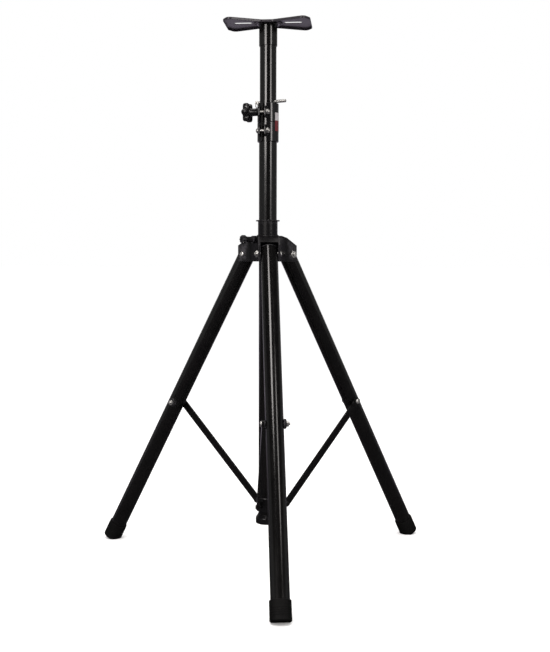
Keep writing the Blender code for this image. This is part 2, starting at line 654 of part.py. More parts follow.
def build_tray(mast, plug):
    """Make the pressed tray, its socket and its screw."""
    tray = frame("tray_frame", TRAY_AZIMUTH)
    tray.parent = mast
    top = TRAY_UNDER + TRAY_SHEET
    pan = plate("tray_plate", [tray_outline(0.0)], TRAY_LIP, tray, TRAY_PAINT,
                location=(0, 0, top - TRAY_LIP / 2))
    hollow = plate("tray_hollow", [tray_outline(TRAY_SHEET)], TRAY_LIP, tray,
                   location=(0, 0, TRAY_UNDER - TRAY_LIP / 2))
    cut(pan, hollow)
    flange = SOCKET_FLANGE_DIAMETER / 2
    for side in (1, -1):
        end = SLOT_WIDTH / 2
        flip = 90 * (1 - side)
        slot = [*arc(side * SLOT_START, 0.0, end, 90 + flip, 270 + flip),
                *arc(side * SLOT_END, 0.0, end, -90 + flip, 90 + flip)]
        opening = plate(f"tray_slot_{side}", [slot], 2 * TRAY_LIP, tray, location=(0, 0, TRAY_UNDER))
        height = TRAY_RIB_HEIGHT + TRAY_SHEET / 2
        level = TRAY_UNDER + TRAY_SHEET / 2 - height / 2
        half = TRAY_RIB_WIDTH / 2
        tip = side * (flange + CLEARANCE + half) / math.cos(TRAY_RIB_ANGLE)
        corners = [(0.0, -half), (TRAY_RIB_LENGTH, -half), (TRAY_RIB_LENGTH, half), (0.0, half)]
        for lean in (1, -1):
            turn = math.atan2(lean * math.cos(TRAY_RIB_ANGLE), -side * math.sin(TRAY_RIB_ANGLE))
            rib = rounded(corners, half * TRAY_RIB_ROUND_SHARE)
            join(pan, plate(f"tray_rib_{side}_{lean}", [rib], height, tray, location=(tip, 0.0, level),
                            rotation=(0, 0, turn)))
        cut(pan, opening)

    inner = MAST_R + CLEARANCE
    outer = inner + SOCKET_WALL
    high, low = TRAY_UNDER - CLEARANCE, TRAY_UNDER - SOCKET_LENGTH
    under = high - SOCKET_FLANGE_THICKNESS
    profile = [
        (inner, high), (flange, high), (flange, under), (outer + SOCKET_FILLET_WIDTH, under),
        (outer, under - SOCKET_FILLET_HEIGHT), (outer, low), (inner, low),
    ]
    turned("tray_socket", profile, mast, GLOSS_BLACK, closed=True)

    shank, head = TRAY_SCREW_DIAMETER / 2, TRAY_SCREW_HEAD_DIAMETER / 2
    face = top - CLEARANCE
    root = face - (head - shank)
    profile = [(0.0, face), (head, face), (shank, root), (shank, face - TRAY_SCREW_LENGTH),
               (0.0, face - TRAY_SCREW_LENGTH)]
    turned("tray_screw", profile, mast, ZINC, steps=SMALL_STEPS)
    rim, hole = head + 3 * CLEARANCE, shank + CLEARANCE
    profile = [(0.0, top + CUT_MARGIN), (rim + CUT_MARGIN, top + CUT_MARGIN), (hole, top - (rim - hole)),
               (hole, TRAY_UNDER - TRAY_LIP), (0.0, TRAY_UNDER - TRAY_LIP)]
    sink = turned("tray_screw_sink", profile, mast, steps=SMALL_STEPS)
    cut(pan, sink)
    cut(plug, sink)


def web_outline():
    """Return the six-sided outline of the webs that close the hub between its clevises."""
    corner = CHEEK_OUT / math.cos(math.radians(30))
    half = (WEB_RADIUS - corner) * math.tan(math.radians(60)) + CHEEK_THICKNESS
    outline = []
    for azimuth in sorted(LEG_AZIMUTHS.values()):
        turn = math.radians(azimuth + 60)
        for side in (-half, half):
            outline.append((WEB_RADIUS * math.cos(turn) - side * math.sin(turn),
                            WEB_RADIUS * math.sin(turn) + side * math.cos(turn)))
    return outline


def build_hub(stand):
    """Make the hub, its ring, its pivot bolts and its thumb screw."""
    hub = frame("hub_axis", 0.0, 0.0, PIVOT_Z)
    hub.parent = stand
    inner = TUBE_R + CLEARANCE
    core, sleeve = inner + HUB_CORE_WALL, inner + SLEEVE_WALL
    profile = [
        (inner, SLEEVE_TOP), (sleeve, SLEEVE_TOP), (sleeve, HUB_CORE_TOP + FINE_CHAMFER),
        (core - FINE_CHAMFER, HUB_CORE_TOP), (core, HUB_CORE_TOP - FINE_CHAMFER), (core, -CLEVIS_DROP),
        (inner, -CLEVIS_DROP),
    ]
    body = turned("hub_body", profile, hub, BLACK_NYLON, closed=True)
    nose = PIVOT_RADIUS + CLEVIS_REACH
    shoulder_r = (inner + PIVOT_RADIUS) / 2
    bolt_r = PIVOT_BOLT_DIAMETER / 2
    sides = [
        (TUBE_R, -CLEVIS_DROP), (nose, -CLEVIS_DROP), (nose, CLEVIS_NOSE),
        (shoulder_r, CLEVIS_SHOULDER), (TUBE_R, HUB_CORE_TOP - FINE_CHAMFER),
    ]
    clevises = [(leg, frame(f"clevis_{leg}", azimuth)) for leg, azimuth in LEG_AZIMUTHS.items()]
    for leg, turn in clevises:
        turn.parent = hub
        join(body, plate(f"clevis_block_{leg}", [sides], 2 * CHEEK_OUT, turn, rotation=Z_TO_MINUS_Y))
    web_height = CLEVIS_SHOULDER + CLEVIS_DROP - 2 * FINE_CHAMFER
    web_middle = (CLEVIS_SHOULDER - CLEVIS_DROP) / 2
    join(body, plate("hub_web", [web_outline()], web_height, hub, location=(0.0, 0.0, web_middle)))
    lock = frame("hub_lock_axis", LOCK_AZIMUTH, 0.0, LOCK_HEIGHT)
    lock.parent = hub
    boss = rod("hub_lock_boss", LOCK_BOSS_DIAMETER / 2, TUBE_R, LOCK_BOSS_REACH, lock, rotation=Z_TO_PLUS_X)
    join(body, boss)
    for leg, turn in clevises:
        recess = block(f"clevis_recess_{leg}", (core, -CHEEK_IN, -CLEVIS_DROP - CUT_MARGIN),
                       (nose + CUT_MARGIN, CHEEK_IN, CLEVIS_ROOF), turn)
        reach = CHEEK_OUT + CUT_MARGIN
        hole = rod(f"pivot_hole_{leg}", bolt_r + CLEARANCE, -reach, reach, turn,
                   location=(PIVOT_RADIUS, 0.0, 0.0), rotation=Z_TO_PLUS_Y)
        cut(body, recess, hole)
        seat = CHEEK_OUT + CLEARANCE
        tail = -(seat + PIVOT_NUT_HEIGHT + BRACE_STUD_END)
        at = {"location": (PIVOT_RADIUS, 0.0, 0.0)}
        headed(f"pivot_bolt_{leg}", bolt_r, PIVOT_HEAD_DIAMETER / 2, PIVOT_HEAD_HEIGHT, seat, tail, turn,
               ZINC, rotation=Z_TO_PLUS_Y, **at)
        hex_nut(f"pivot_nut_{leg}", PIVOT_NUT_WIDTH, bolt_r + CLEARANCE, seat, PIVOT_NUT_HEIGHT, turn,
                ZINC, rotation=Z_TO_MINUS_Y, **at)
    low, high = -CLEVIS_DROP - CUT_MARGIN, SLEEVE_TOP + CUT_MARGIN
    bore = rod("hub_bore", inner, low, high, hub, steps=TUBE_STEPS)
    screw_r = LOCK_SCREW_DIAMETER / 2
    screw_hole = rod("hub_lock_hole", screw_r + CLEARANCE, 0.0, LOCK_BOSS_REACH + CUT_MARGIN, lock,
                     rotation=Z_TO_PLUS_X)
    cut(body, bore, screw_hole)
    seat = SLEEVE_TOP + CLEARANCE
    tube("hub_ring", RING_DIAMETER / 2, inner, seat, seat + RING_THICKNESS, hub, BLACK_NYLON)

    knob_start = LOCK_KNOB_REACH - LOCK_KNOB_LENGTH
    screw_end = LOCK_KNOB_REACH - LOCK_KNOB_LENGTH / 3
    rod("hub_lock_screw", screw_r, TUBE_R + CLEARANCE, screw_end, lock, ZINC, rotation=Z_TO_PLUS_X)
    outline = lobed(LOCK_KNOB_DIAMETER / 2, LOCK_KNOB_SCALLOP, LOCK_KNOB_LOBES, 4)
    middle = (LOCK_KNOB_REACH + knob_start) / 2
    knob = plate("hub_lock_knob", [outline], LOCK_KNOB_LENGTH, lock, BLACK_NYLON,
                 location=(middle, 0.0, 0.0), rotation=Z_TO_PLUS_X)
    soften(knob, LOCK_KNOB_ROUND)
    neck_start = LOCK_BOSS_REACH + CLEARANCE
    neck = rod("hub_lock_neck", LOCK_NECK_DIAMETER / 2, neck_start, middle, lock, rotation=Z_TO_PLUS_X)
    join(knob, neck)
    low, high = neck_start - CUT_MARGIN, screw_end + CLEARANCE
    cut(knob, rod("hub_lock_knob_bore", screw_r + CLEARANCE, low, high, lock, rotation=Z_TO_PLUS_X))
    return hub


def build_leg(leg, azimuth, hub, floor):
    """Make one leg with its plug, foot and brace bolt."""
    axis = frame(f"leg_{leg}_axis", azimuth, PIVOT_RADIUS, 0.0, -LEG_ANGLE)
    axis.parent = hub
    end = -(LEG_REACH - FOOT_END - CLEARANCE)
    shell = tube(f"leg_tube_{leg}", LEG_R, LEG_R - LEG_WALL, end, LEG_TOP, axis, GLOSS_BLACK)
    plug_r = LEG_R - LEG_WALL - CLEARANCE
    seat = LEG_TOP + CLEARANCE
    lip_top, lip_r = seat + LEG_PLUG_LIP, LEG_R - LEG_PLUG_SHY
    foot = LEG_TOP - LEG_PLUG_DEPTH
    profile = [
        (0.0, lip_top), (lip_r - FINE_CHAMFER, lip_top), (lip_r, seat + LEG_PLUG_LIP / 2),
        (lip_r, seat), (plug_r, seat), (plug_r, foot), (0.0, foot),
    ]
    plug = turned(f"leg_top_plug_{leg}", profile, axis, BLACK_NYLON, steps=HIDDEN_STEPS)
    pivot_r = PIVOT_BOLT_DIAMETER / 2 + CLEARANCE
    across = LEG_R + CUT_MARGIN
    pivot = rod(f"leg_pivot_hole_{leg}", pivot_r, -across, across, axis, rotation=Z_TO_PLUS_Y)
    bolt_r = BRACE_BOLT_DIAMETER / 2
    at = {"location": (0.0, 0.0, -BRACE_BOLT_AT)}
    bolt_hole = rod(f"leg_bolt_hole_{leg}", bolt_r + CLEARANCE, -across, across, axis,
                    rotation=Z_TO_PLUS_Y, **at)
    cut(shell, pivot, bolt_hole)
    cut(plug, pivot)

    low = -LEG_REACH
    high = low + FOOT_LENGTH
    socket = LEG_R + CLEARANCE
    profile = [(0.0, low + FOOT_END), (socket, low + FOOT_END), (socket, high)]
    profile += arc(FOOT_R - FINE_CHAMFER, high - FINE_CHAMFER, FINE_CHAMFER, 90, 0, 2)
    profile += arc(FOOT_R - FOOT_ROUND, low + FOOT_ROUND, FOOT_ROUND, 0, -90, 4)
    profile.append((0.0, low))
    cut(turned(f"foot_cap_{leg}", profile, axis, BLACK_RUBBER), floor)

    near = LEG_R + CLEARANCE
    washer_top = near + BRACE_WASHER_HEIGHT
    nut_seat = washer_top + CLEARANCE
    tail = -(nut_seat + BRACE_NUT_HEIGHT + BRACE_STUD_END)
    headed(f"brace_bolt_{leg}", bolt_r, BRACE_HEAD_DIAMETER / 2, BRACE_HEAD_HEIGHT, BAR_OUT + CLEARANCE,
           tail, axis, ZINC, rotation=Z_TO_MINUS_Y, **at)
    hole_r = bolt_r + CLEARANCE
    tube(f"brace_spacer_{leg}", SPACER_DIAMETER / 2, hole_r, near, near + SPACER_THICKNESS, axis,
         BLACK_NYLON, steps=SMALL_STEPS, rotation=Z_TO_MINUS_Y, **at)
    wide = BRACE_WASHER_DIAMETER / 2
    profile = [
        (hole_r, washer_top), (wide * HEAD_TOP_SHARE, washer_top),
        (wide, near + BRACE_WASHER_HEIGHT * HEAD_SIDE_SHARE), (wide, near), (hole_r, near),
    ]
    turned(f"brace_washer_{leg}", profile, axis, BLACK_NYLON, closed=True, steps=SMALL_STEPS,
           rotation=Z_TO_PLUS_Y, **at)
    hex_nut(f"brace_nut_{leg}", BRACE_NUT_WIDTH, hole_r, nut_seat, BRACE_NUT_HEIGHT, axis, ZINC,
            rotation=Z_TO_PLUS_Y, **at)


def build_brace(leg, azimuth, hub):
    """Make one flat brace with the pin at its lower end."""
    axis = frame(f"brace_{leg}_axis", azimuth, BRACE_BOLT_R, BRACE_BOLT_Z - PIVOT_Z, BRACE_ANGLE)
    axis.parent = hub
    half = BAR_WIDTH / 2
    outline = [*arc(0.0, 0.0, half, 0, 180), *arc(0.0, -BRACE_LENGTH, half, 180, 360)]
    bolt_hole = circle(0.0, 0.0, BRACE_BOLT_DIAMETER / 2 + CLEARANCE)
    pin_hole = circle(0.0, -BRACE_LENGTH, BRACE_PIN_DIAMETER / 2 + CLEARANCE)
    plate(f"brace_bar_{leg}", [outline, bolt_hole, pin_hole], BAR_THICKNESS, axis, GLOSS_BLACK,
          location=(0.0, -(BAR_IN + BAR_OUT) / 2, 0.0), rotation=Z_TO_MINUS_Y)
    headed(f"brace_pin_{leg}", BRACE_PIN_DIAMETER / 2, BRACE_PIN_HEAD_DIAMETER / 2, BRACE_PIN_HEAD_HEIGHT,
           BAR_OUT + CLEARANCE, LUG_IN, axis, ZINC,
           location=(0.0, 0.0, -BRACE_LENGTH), rotation=Z_TO_MINUS_Y)


def main():
    """Build the whole stand."""
    stand = frame("stand_axis")
    build_pole(stand)
    build_clamp(stand)
    build_tray(*build_mast(stand))
    hub = build_hub(stand)
    reach = LEG_REACH
    floor = block("floor_cut", (-reach, -reach, -FOOT_LENGTH), (reach, reach, 0.0), stand)
    for leg, azimuth in LEG_AZIMUTHS.items():
        build_leg(leg, azimuth, hub, floor)
        build_brace(leg, azimuth, hub)
    bpy.context.view_layer.update()


main()
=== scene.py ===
"""Dressed speaker tripod stand: a fine mesh and a finish for every piece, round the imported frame.

Metres, +Z up, in the frame's own coordinates: the front leg points to -Y.
"""
import json
import logging
import math
from dataclasses import dataclass
from enum import Enum

import bmesh
import bpy
from mathutils import Matrix, Vector


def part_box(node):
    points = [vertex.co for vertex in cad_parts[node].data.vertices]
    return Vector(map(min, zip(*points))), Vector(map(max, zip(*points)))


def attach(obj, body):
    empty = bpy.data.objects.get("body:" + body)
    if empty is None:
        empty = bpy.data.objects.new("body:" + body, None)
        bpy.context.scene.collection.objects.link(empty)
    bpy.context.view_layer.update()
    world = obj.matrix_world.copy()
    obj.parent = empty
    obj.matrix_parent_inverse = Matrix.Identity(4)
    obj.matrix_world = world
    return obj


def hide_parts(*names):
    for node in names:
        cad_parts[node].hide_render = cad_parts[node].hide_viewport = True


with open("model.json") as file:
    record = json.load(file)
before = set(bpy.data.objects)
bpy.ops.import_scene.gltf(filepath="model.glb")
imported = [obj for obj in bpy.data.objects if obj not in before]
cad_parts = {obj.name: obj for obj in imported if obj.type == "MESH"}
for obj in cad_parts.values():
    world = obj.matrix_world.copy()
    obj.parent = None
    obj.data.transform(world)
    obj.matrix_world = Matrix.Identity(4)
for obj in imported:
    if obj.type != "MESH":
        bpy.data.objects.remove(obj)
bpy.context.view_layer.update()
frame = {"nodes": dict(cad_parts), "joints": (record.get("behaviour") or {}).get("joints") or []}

LOG = logging.getLogger("speaker_stand")
JOINTS: dict[str, dict] = {joint["name"]: joint for joint in frame["joints"]}

Span = tuple[float, float]
Point = tuple[float, float, float]
Colour = tuple[float, float, float]
Profile = list[Span]
Piece = bpy.types.Object
Tree = bpy.types.NodeTree
Socket = bpy.types.NodeSocket

CLEARANCE = 0.0003
MERGE = 0.000001
CUT_MARGIN = 0.004
TUBE_RIM = 0.0004
FULL_TURN = 2 * math.pi
SHARP_ANGLE = math.radians(38)
FLAT_ANGLE = 0.001

TUBE_STEPS = 96
SMALL_STEPS = 48
END_STEPS = 24
SLOT_STEPS = 16
LOBE_STEPS = 16
CORNER_STEPS = 8
DOME_STEPS = 6
HEX_STEPS = 6
EDGE_STEPS = 4
RIM_STEPS = 3

# Shares of a thread's pitch, and the pitch of the small screws.
THREAD_DEPTH = 0.5
THREAD_CREST = 0.15
THREAD_ROOT = 0.55
FINE_PITCH = 0.001

# Bolt heads: rim and socket as shares of the height, flat as a share of the radius, chamfer in metres.
HEAD_RIM = 0.3
SOCKET_DEPTH = 0.6
HEAD_FLAT = 0.45
HEAD_CHAMFER = 0.0002

# Nuts: face as a share of the width, and the slope of the chamfer round it.
NUT_FACE = 0.49
NUT_SLOPE = 0.55

# Socket numbers of the Mix node when it mixes colours.
MIX_FACTOR, MIX_FIRST, MIX_SECOND, MIX_RESULT = 0, 6, 7, 2

IDENTITY = Matrix.Identity(4)
Z_TO_MINUS_Y = Matrix.Rotation(math.pi / 2, 4, "X")
Z_TO_PLUS_Y = Matrix.Rotation(-math.pi / 2, 4, "X")
Z_TO_PLUS_X = Matrix.Rotation(math.pi / 2, 4, "Y")


class Slot(Enum):
    """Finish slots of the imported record."""

    ENAMEL = "black_enamel"
    TRAY = "tray_enamel"
    NYLON = "black_nylon"
    LINER = "grey_nylon"
    RUBBER = "foot_rubber"
    ZINC = "zinc_hardware"


class LegName(Enum):
    """The three legs, named as the frame names them."""

    FRONT = "front"
    RIGHT = "right"
    LEFT = "left"

    @property
    def fold(self) -> str:
        """Name of the joint at the leg's top."""
        return f"leg_{self.value}_fold"

    @property
    def brace_fold(self) -> str:
        """Name of the joint between the leg and its brace."""
        return f"brace_{self.value}_fold"


class Solid(Enum):
    """Ways to combine a piece with a tool."""

    CUT = "DIFFERENCE"
    UNITE = "UNION"
    COMMON = "INTERSECT"


class Arithmetic(Enum):
    """Ways to work out one shader value from two."""

    ADD = "ADD"
    SUBTRACT = "SUBTRACT"
    MULTIPLY = "MULTIPLY"


def add_node(tree: Tree, kind: str, values: dict | None = None, **settings: object) -> bpy.types.Node:
    """Add a shader node, set its options and fill its inputs.

    Args:
        tree: The node tree that takes the node.
        kind: The node's type name.
        values: Input name or index to a socket, which is linked, or to a constant.
        settings: The node's own options.

    Returns:
        The new node.
    """
    made = tree.nodes.new(kind)
    for option, value in settings.items():
        setattr(made, option, value)
    for key, value in (values or {}).items():
        if isinstance(value, Socket):
            tree.links.new(value, made.inputs[key])
        else:
            made.inputs[key].default_value = value
    return made


def mix_colour(tree: Tree, mask: Socket, first: Socket | Colour, second: Colour) -> Socket:
    """Mix two colours by a mask.

    Args:
        tree: The material's node tree.
        mask: Mask socket.
        first: Colour or socket where the mask is 0.
        second: Colour where the mask is 1.

    Returns:
        The mixed colour's socket.
    """
    start = first if isinstance(first, Socket) else (*first, 1.0)
    values = {MIX_FACTOR: mask, MIX_FIRST: start, MIX_SECOND: (*second, 1.0)}
    return add_node(tree, "ShaderNodeMix", values, data_type="RGBA").outputs[MIX_RESULT]


def remap(tree: Tree, value: Socket, low: float, high: float, start: Socket | float = 0.0,
          end: Socket | float = 1.0) -> Socket:
    """Map a value's range from low to high on to a range from start to end, held at its ends."""
    values = {"Value": value, "From Min": low, "From Max": high, "To Min": start, "To Max": end}
    return add_node(tree, "ShaderNodeMapRange", values).outputs["Result"]


def compute(tree: Tree, how: Arithmetic, first: Socket, second: Socket | float, hold: bool = False) -> Socket:
    """Work out one value from two, held between 0 and 1 if asked."""
    values = {0: first, 1: second}
    return add_node(tree, "ShaderNodeMath", values, operation=how.value, use_clamp=hold).outputs[0]


def multiply(tree: Tree, first: Socket, second: Socket) -> Socket:
    """Multiply two values."""
    return compute(tree, Arithmetic.MULTIPLY, first, second)


def own_place(tree: Tree) -> Socket:
    """Return the place on a piece in the piece's own coordinates."""
    return add_node(tree, "ShaderNodeTexCoord").outputs["Object"]


def noise(tree: Tree, place: Socket, scale: Socket, detail: float, distortion: float = 0.0) -> Socket:
    """Add a noise texture and return its value."""
    values = {"Vector": place, "Scale": scale, "Detail": detail, "Distortion": distortion}
    return add_node(tree, "ShaderNodeTexNoise", values).outputs["Fac"]


@dataclass
class Effects:
    """Shader node groups that several finishes share, each built once."""

    tone_span: Span = (0.3, 0.7)
    dust_slope: Span = (0.3, 1.0)
    dust_patches: Span = (0.4, 0.75)
    scuff_fade: Span = (0.0, 0.05)
    scuff_waver: float = 0.3
    edge_fade: Span = (0.0, 0.06)
    edge_patches: Span = (0.35, 0.65)
    edge_least: float = 0.2

    def __post_init__(self) -> None:
        """Build the four groups."""
        self.grain = self.build_grain()
        self.dust = self.build_dust()
        self.scuffs = self.build_scuffs()
        self.edges = self.build_edge_wear_and_highlight()

    @staticmethod
    def start(name: str, inputs: dict[str, float], outputs: list[str]) -> tuple:
        """Make an empty group with its named sockets.

        Args:
            name: The group's name.
            inputs: Input names with their default values.
            outputs: Output names.

        Returns:
            The tree, its input node's outputs and its output node's inputs.
        """
        tree = bpy.data.node_groups.new(name, "ShaderNodeTree")
        for label, value in inputs.items():
            socket = tree.interface.new_socket(label, in_out="INPUT", socket_type="NodeSocketFloat")
            socket.default_value = value
        for label in outputs:
            tree.interface.new_socket(label, in_out="OUTPUT", socket_type="NodeSocketFloat")
        entry = tree.nodes.new("NodeGroupInput")
        leave = tree.nodes.new("NodeGroupOutput")
        return tree, entry.outputs, leave.inputs

    def build_grain(self) -> Tree:
        """Make a fine surface height and a broad, slow change of tone.

        Returns:
            The group, which puts out Height and Tone.
        """
        inputs = {"Scale": 900.0, "Tone Scale": 20.0}
        tree, given, out = self.start("surface_grain", inputs, ["Height", "Tone"])
        place = own_place(tree)
        broad = noise(tree, place, given["Tone Scale"], detail=5.0)
        tree.links.new(noise(tree, place, given["Scale"], detail=3.0), out["Height"])
        tree.links.new(remap(tree, broad, *self.tone_span), out["Tone"])
        return tree

    def build_dust(self) -> Tree:
        """Make patchy dust on faces that look up.

        Returns:
            The group, which puts out Mask.
        """
        tree, given, out = self.start("settled_dust", {"Scale": 60.0, "Amount": 0.1}, ["Mask"])
        normal = add_node(tree, "ShaderNodeNewGeometry").outputs["Normal"]
        upward = add_node(tree, "ShaderNodeSeparateXYZ", {0: normal}).outputs["Z"]
        patches = noise(tree, own_place(tree), given["Scale"], detail=6.0)
        level = remap(tree, upward, *self.dust_slope)
        cover = multiply(tree, level, remap(tree, patches, *self.dust_patches))
        tree.links.new(multiply(tree, cover, given["Amount"]), out["Mask"])
        return tree

    def build_scuffs(self) -> Tree:
        """Make sparse hairlines, drawn out along the piece's own Z.

        Returns:
            The group, which puts out Mask.
        """
        inputs = {"Scale": 220.0, "Stretch": 0.08, "Start": 0.66, "Amount": 0.3}
        tree, given, out = self.start("hairline_scuffs", inputs, ["Mask"])
        scale = {"X": 1.0, "Y": 1.0, "Z": given["Stretch"]}
        stretch = add_node(tree, "ShaderNodeCombineXYZ", scale).outputs[0]
        drawn = add_node(tree, "ShaderNodeVectorMath", {0: own_place(tree), 1: stretch}, operation="MULTIPLY")
        lines = noise(tree, drawn.outputs[0], given["Scale"], detail=5.0, distortion=self.scuff_waver)
        above = compute(tree, Arithmetic.SUBTRACT, lines, given["Start"])
        tree.links.new(multiply(tree, remap(tree, above, *self.scuff_fade), given["Amount"]), out["Mask"])
        return tree

    def build_edge_wear_and_highlight(self) -> Tree:
        """Make the outer edges' mask, broken up by noise: rubbed wear, and a painted highlight on the black
        nylon.

        Returns:
            The group, which puts out Mask.
        """
        inputs = {"Scale": 150.0, "Start": 0.52, "Amount": 0.3}
        tree, given, out = self.start("rubbed_and_highlit_edges", inputs, ["Mask"])
        point = add_node(tree, "ShaderNodeNewGeometry").outputs["Pointiness"]
        above = compute(tree, Arithmetic.SUBTRACT, point, given["Start"])
        patches = noise(tree, own_place(tree), given["Scale"], detail=4.0)
        broken = multiply(tree, remap(tree, above, *self.edge_fade),
                          remap(tree, patches, *self.edge_patches, self.edge_least))
        tree.links.new(multiply(tree, broken, given["Amount"]), out["Mask"])
        return tree


EFFECTS = Effects()
DUST_COLOUR: Colour = (0.30, 0.285, 0.26)


@dataclass(frozen=True)
class Finish:
    """One surface finish, from its colour down to the wear that it shows, and on the black nylon a painted
    highlight along its edges.
    """

    name: str
    slot: Slot | None
    colour: Colour
    tint: Colour
    mark_colour: Colour
    roughness: float
    spread: float
    metallic: float = 0.0
    specular: float = 0.5
    grain_scale: float = 900.0
    grain_depth: float = 0.00001
    tone_scale: float = 20.0
    dust: float = 0.05
    scuff_scale: float = 220.0
    scuff_stretch: float = 0.08
    scuff: float = 0.2
    # Amount of the edge mask: rubbed wear, and at the black nylon's large amount a painted highlight.
    edge: float = 0.2

    def material(self) -> bpy.types.Material:
        """Return the finish's material, made at its first use."""
        found = bpy.data.materials.get(self.name)
        return found if found else self.build()

    def build(self) -> bpy.types.Material:
        """Build the material from the shared effects.

        Returns:
            A procedural material with one Principled shader.
        """
        material = bpy.data.materials.new(self.name)
        material.use_nodes = True
        tree = material.node_tree
        shader = tree.nodes["Principled BSDF"].inputs
        values = {"Scale": self.grain_scale, "Tone Scale": self.tone_scale}
        grain = add_node(tree, "ShaderNodeGroup", values, node_tree=EFFECTS.grain).outputs
        values = {"Scale": self.scuff_scale, "Stretch": self.scuff_stretch, "Amount": self.scuff}
        scuffs = add_node(tree, "ShaderNodeGroup", values, node_tree=EFFECTS.scuffs).outputs["Mask"]
        values = {"Amount": self.edge}
        edges = add_node(tree, "ShaderNodeGroup", values, node_tree=EFFECTS.edges).outputs["Mask"]
        values = {"Amount": self.dust}
        dust = add_node(tree, "ShaderNodeGroup", values, node_tree=EFFECTS.dust).outputs["Mask"]

        colour = mix_colour(tree, grain["Tone"], self.colour, self.tint)
        # Scuffs and edges take the mark colour, which on the black nylon's edges is a painted highlight; dust
        # takes its own colour.
        for mask, mark_colour in ((scuffs, self.mark_colour), (edges, self.mark_colour), (dust, DUST_COLOUR)):
            colour = mix_colour(tree, mask, colour, mark_colour)
        low, high = self.roughness - self.spread, self.roughness + self.spread
        rough = remap(tree, grain["Tone"], 0.0, 1.0, low, high)
        rough = compute(tree, Arithmetic.ADD, rough, scuffs)
        rough = compute(tree, Arithmetic.ADD, rough, dust, hold=True)
        bump = add_node(tree, "ShaderNodeBump", {"Height": grain["Height"], "Distance": self.grain_depth})
        tree.links.new(colour, shader["Base Color"])
        tree.links.new(rough, shader["Roughness"])
        tree.links.new(bump.outputs["Normal"], shader["Normal"])
        shader["Metallic"].default_value = self.metallic
        shader["Specular IOR Level"].default_value = self.specular
        return material


ENAMEL = Finish("gloss_black_enamel", Slot.ENAMEL, (0.0014, 0.0013, 0.0013), (0.0022, 0.0020, 0.0020),
                (0.030, 0.029, 0.028), 0.15, 0.015, specular=0.42, grain_scale=700.0, grain_depth=0.00000015,
                dust=0.02, scuff=0.02, edge=0.05)
TRAY_ENAMEL = Finish("satin_tray_enamel", Slot.TRAY, (0.0085, 0.0065, 0.0100), (0.0110, 0.0085, 0.0125),
                     (0.05, 0.045, 0.052), 0.30, 0.03, grain_scale=1100.0, grain_depth=0.000004, dust=0.05,
                     scuff=0.06, edge=0.10)
# The black nylon's pale mark colour and large edge amount paint a highlight on every rounded edge, standing
# in for light catching the bevels.
NYLON = Finish("black_moulded_nylon", Slot.NYLON, (0.0020, 0.0018, 0.0023), (0.0030, 0.0027, 0.0034),
               (0.085, 0.080, 0.090), 0.36, 0.04, specular=0.22, grain_scale=2200.0, grain_depth=0.000006,
               dust=0.02, scuff_stretch=0.6, scuff=0.03, edge=0.55)
CLAMP_NYLON = Finish("polished_clamp_nylon", Slot.NYLON, (0.0020, 0.0019, 0.0021), (0.0030, 0.0028, 0.0031),
                     (0.024, 0.024, 0.025), 0.16, 0.02, specular=0.42, grain_scale=2000.0,
                     grain_depth=0.000004, dust=0.02, scuff_stretch=0.6, scuff=0.05, edge=0.12)
LINER_NYLON = Finish("grey_liner_nylon", Slot.LINER, (0.010, 0.010, 0.010), (0.015, 0.015, 0.015),
                     (0.06, 0.06, 0.06), 0.42, 0.05, specular=0.3, grain_scale=1800.0, grain_depth=0.00001,
                     scuff=0.10)
RUBBER = Finish("matte_foot_rubber", Slot.RUBBER, (0.0016, 0.0015, 0.0015), (0.0026, 0.0024, 0.0024),
                (0.014, 0.013, 0.013), 0.60, 0.06, specular=0.10, grain_scale=1500.0, grain_depth=0.00004,
                dust=0.015, scuff_stretch=0.9, scuff=0.08, edge=0.10)
ZINC = Finish("bright_zinc_plate", Slot.ZINC, (0.66, 0.66, 0.64), (0.76, 0.75, 0.72), (0.42, 0.41, 0.38),
              0.36, 0.03, metallic=1.0, grain_scale=1600.0, grain_depth=0.0000005, dust=0.01,
              scuff_stretch=0.3, scuff=0.05, edge=0.03)
# A darker zinc for the brace pins, which show no bright glint.
DARK_ZINC = Finish("dark_zinc_plate", Slot.ZINC, (0.045, 0.044, 0.043), (0.060, 0.058, 0.056),
                   (0.30, 0.29, 0.27), 0.36, 0.03, metallic=1.0, grain_scale=1600.0, grain_depth=0.0000005,
                   dust=0.01, scuff_stretch=0.3, scuff=0.05, edge=0.05)
LABEL_WHITE = Finish("plain_white_label", None, (0.24, 0.225, 0.23), (0.30, 0.285, 0.29), (0.15, 0.14, 0.14),
                     0.38, 0.04, specular=0.3, grain_scale=1800.0, grain_depth=0.000006, scuff_stretch=0.8,
                     scuff=0.25)
LABEL_RED = Finish("plain_red_label", None, (0.070, 0.0050, 0.0075), (0.088, 0.0065, 0.0095),
                   (0.12, 0.045, 0.045), 0.38, 0.04, specular=0.3, grain_scale=1800.0, grain_depth=0.000006,
                   scuff_stretch=0.8, scuff=0.20)


def outward(azimuth: float, radius: float = 0.0, height: float = 0.0, tilt: float = 0.0) -> Matrix:
    """Return a local frame on a ring round the pole.

    Args:
        azimuth: Direction of the frame's X, in radians.
        radius: Distance of the frame from the pole's axis.
        height: Height above the floor.
        tilt: Turn about the frame's own Y, in radians.

    Returns:
        A matrix whose X points outward, Y along the tangent and Z up before the tilt.
    """
    spot = Vector((radius * math.cos(azimuth), radius * math.sin(azimuth), height))
    return Matrix.Translation(spot) @ Matrix.Rotation(azimuth, 4, "Z") @ Matrix.Rotation(tilt, 4, "Y")


def moved(x: float = 0.0, y: float = 0.0, z: float = 0.0) -> Matrix:
    """Return a plain shift."""
    return Matrix.Translation((x, y, z))


def joint_place(name: str) -> Vector:
    """Return a point on a joint's axis."""
    return Vector(JOINTS[name]["pos_m"])


